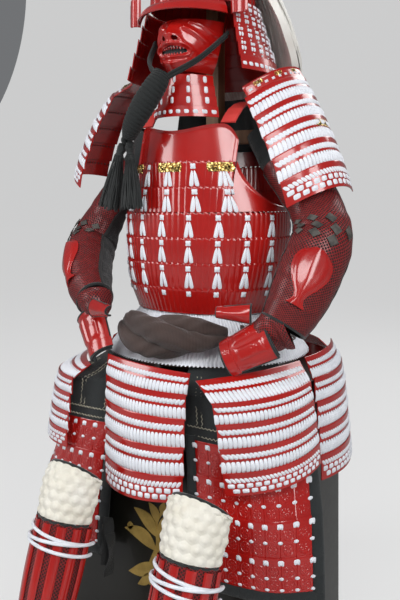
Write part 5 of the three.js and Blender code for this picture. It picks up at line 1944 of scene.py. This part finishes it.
# %% [markdown]
# # Mask and throat guard
#
# The mask covers the lower face: a strong nose, a grim mouth with teeth, curved ridges over the cheeks.
# It is one fine grid. Its relief adds the forms that a smith would raise with a hammer, and the mouth and
# nostrils are cut with a Boolean.

# %% Mask
FACE = Table([1246, 1262, 1290, 1315, 1345, 1358], a=[50, 62, 72, 79, 83, 84],
             front=[124, 136, 139, 138, 132, 124])


def face_form(degrees, z, lift):
    p = oval(degrees, z, FACE("a", z), FACE("front", z), FACE("front", z), -12, lift)
    x = p[..., 0]
    nose = 20 * np.exp(-((x / 15) ** 2)) * np.clip(1 - np.abs(z - 1322) / 34, 0, 1)
    chin = 6 * np.exp(-((x / 24) ** 2)) * np.clip(1 - np.abs(z - 1258) / 16, 0, 1)
    p[..., 1] -= nose + chin
    return p


def ridge(x, z, path, wide, high):
    """A raised curve on the face through a few (x, z) points, the same on both sides."""
    path = np.array(path, float)
    t = steps(0, len(path) - 1, 60)
    line = hermite(np.arange(len(path)), path, t)
    near = np.min(np.hypot(np.abs(x)[:, None] - line[:, 0], z[:, None] - line[:, 1]), axis=1)
    return high * np.exp(-((near / wide) ** 2))


def face_relief(degrees, z):
    x = FACE("a", z) * np.sin(np.radians(degrees))
    height = 0.2 + ridge(x, z, [(20, 1312), (30, 1300), (42, 1284), (40, 1270)], 3.4, 4.5)
    height += ridge(x, z, [(26, 1338), (44, 1326), (58, 1308), (60, 1288)], 4.5, 5.0)
    height += ridge(x, z, [(34, 1350), (54, 1342), (70, 1324)], 3.5, 3.2)
    height += ridge(x, z, [(0, 1302), (18, 1303), (33, 1296), (37, 1288), (30, 1278), (0, 1275)], 4.2, 5.5)
    height += 7.0 * np.exp(-(((np.abs(x) - 14) / 8) ** 2 + ((z - 1318) / 8) ** 2))
    height += ridge(x, z, [(0, 1262), (16, 1264), (30, 1270)], 3.0, 2.6)
    return height


mask = sheet("mask_piece", face_form, steps(-68, 68, 111), steps(1247, 1357, 81), 2.2, face_relief)


def cutter(wide, deep, high, x, y, z):
    nothing_selected()
    bpy.ops.mesh.primitive_cylinder_add(vertices=32, radius=0.5, depth=1, rotation=(math.pi / 2, 0, 0),
                                        location=(x * MM, y * MM, z * MM))
    tool = named("cutter")
    bpy.ops.object.transform_apply(location=False, rotation=True, scale=False)
    tool.scale = (wide * MM, deep * MM, high * MM)
    return tool


for wide, high, x, z in ((64, 20, 0, 1288), (11, 9, -13, 1313), (12, 10, 13, 1313)):
    tool = cutter(wide, 120, high, x, -160, z)
    modify(mask, "BOOLEAN", object=tool, operation="DIFFERENCE", solver="EXACT")
    bpy.data.objects.remove(tool)
dressed(smooth(mask, 50), red, "red_lacquer", "face_mask")

teeth = []
for row, (z, tip) in enumerate(((1295, -6.5), (1281, 6.0))):
    for k in range(9):
        x = (k - 4) * 6.4
        nothing_selected()
        bpy.ops.mesh.primitive_cone_add(vertices=10, radius1=3.2, radius2=1.2,
                                        depth=abs(tip) + (2 if k in (1, 7) else 0))
        tooth = named("tooth")
        flat = coordinates(tooth)
        flip = 1 if tip > 0 else -1
        y = -12 - 136 * math.sqrt(1 - (x / 80) ** 2)
        place_vertices(tooth, np.stack([x + flat[:, 0], y + flat[:, 1] * 0.7, z + flat[:, 2] * flip],
                                       axis=1) * MM)
        teeth.append(tooth)
dressed(faces_out(joined("mask_teeth", teeth)), red, "red_lacquer")
dark = sheet("mouth_shadow", lambda u, z, lift: np.stack([u, -12 - 130 * np.sqrt(1 - (u / 80) ** 2)
                                                          + lift, z], axis=-1),
             steps(-36, 36, 13), steps(1272, 1304, 5), 0.8)
dressed(dark, black_cloth, "red_lacquer")

# A black lining stands behind the neck, inside the back plate's top. It is partly the collar's lining and partly
# a dark sheet that paints the shade inside the neck opening.
nape = sheet("nape_lining", lambda a, z, lift: torso(a, z, lift - 9), steps(118, 242, 41),
             steps(1090, 1215, 14), 2.4,
             lambda a, z: 1.2 * np.sin(a * 0.4), size=(260, 125))
dressed(nape, black_cloth, "black_cloth")

THROAT = Table([1150, 1241], a=[100, 72], front=[152, 134])


def bib_form(u, t, lift):
    z = 1241 + (1150 - 1241) * t
    return oval(u * 54, z, THROAT("a", z), THROAT("front", z), THROAT("front", z), 0, lift - 1)


dressed(lacquer_boards("throat_lames", bib_form, lames=4), red, "red_lacquer", "throat_guard")
throat_ties = [cell_copies("ties", pad("tie", 0.22, 0.62, 2.6, 4, 5, 3.0, at=(0.5, 0.45)), 5, 3, bib_form, 4),
               cell_copies("squares", pad("square", 0.66, 0.44, 3.0, 4, 4, 4.0, at=(0.5, 0.55)), 11, 1,
                           bib_form, 4, 3)]
dressed(smooth(joined("throat_lacing", throat_ties), 70), white_lace, "white_lace")

# %% [markdown]
# # Chin cord and tassels
#
# A thick black cord ties the helmet under the chin. Its ends are wound into a bundle that hangs to one
# side and ends in two silk tassels. The winding is a raised screw on the bundle's relief.

# %% Chin cord
WRAP = [(-2, -178, 1240), (-14, -186, 1214), (-44, -190, 1172), (-74, -186, 1132), (-90, -178, 1108)]
wrap_form = sweep(WRAP, (0, -1, 0), [18, 24, 26, 21, 14], [13, 20, 22, 19, 13])


def winding(u, v):
    turn = (v * 5.5 + 0.5 * np.sin(2 * np.pi * u)) % 1
    return 2.4 * np.sqrt(np.clip(1 - (2 * turn - 1) ** 2, 0, 1)) - 1.2


cords = [sheet("bundle", wrap_form, steps(0, 1, 33), steps(0, 4, 220), 3.0, winding, ring=True,
               size=(120, 150))]
for x, y, z in ((-104, -170, 1104), (-90, -172, 1092)):
    nothing_selected()
    bpy.ops.mesh.primitive_uv_sphere_add(segments=20, ring_count=12, radius=10 * MM,
                                         location=(x * MM, y * MM, z * MM))
    bpy.ops.object.transform_apply(location=True, rotation=True, scale=True)
    cords.append(named("knot"))
dressed(smooth(joined("chin_cord_bundle", cords), 60), black_cord, "black_cord", "chin_cord")
for side, x in SIDES.items():
    for name, step in (("upper", 3.6), ("lower", -3.6)):
        line = np.array([(x * (92 + 0.4 * step), -72, 1328 + step),
                         (x * (62 + 0.4 * step), -140, 1268 + step),
                         (x * 6, -183, 1226 + step)])
        strand = sheet(f"chin_strand_{name}_{side}", sweep(line, (x, -1, 0), [3.8] * 3, [3.8] * 3),
                       steps(0, 1, 17),
                       steps(0, 2, 90), 0, lambda u, v: 0.4 * np.sin(2 * np.pi * (u * 2 + v * 12)), ring=True,
                       size=(26, 170))
        path = [tuple(p * MM) for p in hermite([0, 1, 2], line, steps(0, 2, 41))]
        dressed(strand, black_cord, "black_cord")
        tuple(path[0])

# %% [markdown]
# A tassel is a wound head and a skirt of loose silk strands. Every strand is a thin, rounded ribbon from
# the head to its own place on the hem.

# %% Tassels
for name, x, y, low_x, low_y in (("tassel_outer", -116, -166, -158, -158),
                                 ("tassel_inner", -92, -170, -88, -170)):
    z = np.array([1098, 1088, 1070, 1010, 955])
    middle = [(x, y, z[0]), (x, y, z[1]), (x + (low_x - x) * 0.2, y, z[2]),
              (x + (low_x - x) * 0.6, y + (low_y - y) * 0.6, z[3]), (low_x, low_y, z[4])]
    tassel_form = sweep(middle, (0, -1, 0), [7, 11, 9, 20, 27], [7, 10, 8, 12, 13])
    head = sheet("head", tassel_form, steps(0, 1, 25), steps(0, 2.2, 40), 2.0,
                 lambda u, v: 0.7 * np.sin(v * 34), ring=True, size=(60, 40))
    core = sheet("core", lambda u, v, lift, f=tassel_form: f(u, v, lift - 4), steps(0, 1, 25),
                 steps(1.9, 3.9, 24), 2.0,
                 lambda u, v: 1.2 * np.sin(u * 2 * np.pi * 11), ring=True, size=(60, 130))
    parts = [head, core]
    nothing_selected()
    bpy.ops.mesh.primitive_grid_add(x_subdivisions=4, y_subdivisions=12, size=2)
    strands = modify(named("strands"), "ARRAY", count=170, use_relative_offset=False,
                     use_constant_offset=True,
                     constant_offset_displace=(0, 0, 0))
    flat = coordinates(strands).reshape(170, -1, 3)
    turn, depth = rng.uniform(0, 1, 170)[:, None], rng.uniform(-7, 1.5, 170)[:, None]
    reach, phase = rng.uniform(3.75, 4.03, 170)[:, None], rng.uniform(0, 6, 170)[:, None]
    share = (flat[..., 1] + 1) / 2
    v = 1.95 + (reach - 1.95) * share
    round_it = flat[..., 0] * np.pi
    u = turn + 0.012 * np.sin(share * 7 + phase) + 0.010 * np.cos(round_it)
    lift = depth + 0.75 * np.sin(round_it) + 1.5 * share
    place_vertices(strands, tassel_form(u, np.minimum(v, 4.0), lift).reshape(-1, 3) * MM)
    parts.append(strands)
    dressed(smooth(joined(f"{name}_piece", parts), 60), tassel_thread, "black_cord", name)

# %% [markdown]
# # Shin guards and knee pads
#
# The shin guard is a row of upright iron splints joined by mail. Splints and mail are two sheets on one
# form: the mail lies flat and the splints are rounded bars above it. Three turns of white cord tie the
# guard below the knee. The knee pad above it is quilted leather: hexagon cells, each a low dome, with a
# stitched groove between them, and black piping along its arched top and its foot.

# %% Shin guards
SHIN = {"left": [(168, -300, 456), (140, -438, 14)], "right": [(-119, -300, 462), (-144, -438, 14)]}
CALF = Table([118, 220, 340, 462], wide=[56, 55, 46, 42], deep=[54, 53, 46, 44])
KNEE = Table([10, 36, 78, 114], wide=[50, 57, 58, 53], deep=[44, 54, 56, 53])


def leg_form(side, table):
    top, foot = np.array(SHIN[side], float)
    down = unit(foot - top)
    across = unit(np.array([1, 0, 0]) - down * down[0])
    out = np.cross(across, down)
    out = -out if out[1] > 0 else out

    def form(degrees, v, lift):
        degrees, v, lift = np.broadcast_arrays(np.asarray(degrees, float), np.asarray(v, float),
                                               np.asarray(lift, float))
        a = np.radians(degrees)
        return (top + down * v[..., None] + across * ((table("wide", v) + lift) * np.sin(a))[..., None]
                + out * ((table("deep", v) + lift) * np.cos(a))[..., None])
    return form, float(np.linalg.norm(foot - top))


for side in SIDES:
    calf, long = leg_form(side, CALF)
    foot_v = long - 12
    mail_sheet = sheet(f"shin_mail_{side}", calf, steps(-105, 105, 61), steps(119, foot_v, 60), 1.6,
                       size=(200, 340))
    dressed(mail_sheet, red_mail, "red_lacquer", f"shin_guard_{side}")
    splints = []
    for degrees in steps(-96, 96, 7):
        def bar(u, v, lift, degrees=degrees):
            return calf(degrees + u * 9.6, v, lift)
        splints.append(sheet("splint", bar, steps(-1, 1, 11), steps(121, foot_v - 2, 50), 1.6,
                             lambda u, v: 1.6 + 3.4 * np.sqrt(np.clip(1 - u * u, 0, 1))))
    dressed(joined(f"shin_splints_{side}", splints), red, "red_lacquer")
    for k, (start, tilt) in enumerate(((140, 8), (151, -4), (163, 5))):
        turn = np.array([(a, start + tilt * math.sin(math.radians(a * 0.9))) for a in steps(-110, 110, 70)])
        wrap = plate_rim(lambda a, v, lift: calf(a, v, lift + 6.0), turn, 3.4, 0.4 + 2.2 * k % 3,
                         f"shin_tie_{side}_{k}")
        path = [tuple(p * MM) for p in calf(turn[:, 0], turn[:, 1], 6.4 + 2.2 * k % 3)]
        dressed(wrap, white_lace, "white_lace")
        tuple(path[0])

    knee, _ = leg_form(side, KNEE)

    def pad_form(share, v, lift, knee=knee):
        arch = np.where(v < 30, 22 * share**2 * np.clip((30 - v) / 12, 0, 1), 0)
        return knee(share * 92, v + arch, lift)

    def quilting(share, v):
        """Hexagon cells, each a low dome, with a stitched groove between them."""
        x, y = share * 84 / 20.5, v / 17.8
        def dome(x, y):
            x, y = x - np.round(x), y - 2 * np.round(y / 2)
            return np.hypot(x, y * 0.87)
        near = np.minimum(dome(x, y), dome(x + 0.5, y + 1))
        return 0.8 + 3.4 * np.sqrt(np.clip(1 - (near / 0.585) ** 2, 0, 1)) + 1.8 * np.exp(-(near / 0.24) ** 4)

    quilt = sheet(f"knee_quilt_{side}", pad_form, steps(-1, 1, 151), steps(10, 113, 104), 5.0, quilting,
                  size=(168, 104))
    dressed(quilt, doeskin, "cream_quilting", f"knee_pad_{side}")
    top_edge = [(s, 10.5) for s in steps(-1, 1, 70)]
    foot_edge = [(s, 114 + 3.5 * abs(math.sin(s * 12))) for s in steps(-1, 1, 90)]
    piping = [plate_rim(pad_form, top_edge, 3.2, 1.0, "piping"),
              plate_rim(pad_form, foot_edge, 2.6, 1.0, "piping")]
    dressed(joined(f"knee_piping_{side}", piping), black_braid, "black_cloth")

# %% [markdown]
# # Finish
#
# The last cell prints the size of the dressed model. The CAD model fixed it at the start, so the dressed model's
# box should be the same apart from a few millimetres of laces and hair.

# %% Sizes and finish
low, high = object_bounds()
boxes = {"cad": [list(cad_low), list(cad_high)], "visual": [list(low), list(high)]}
print("visual box in metres:", tuple(round(v, 3) for v in low), tuple(round(v, 3) for v in high))
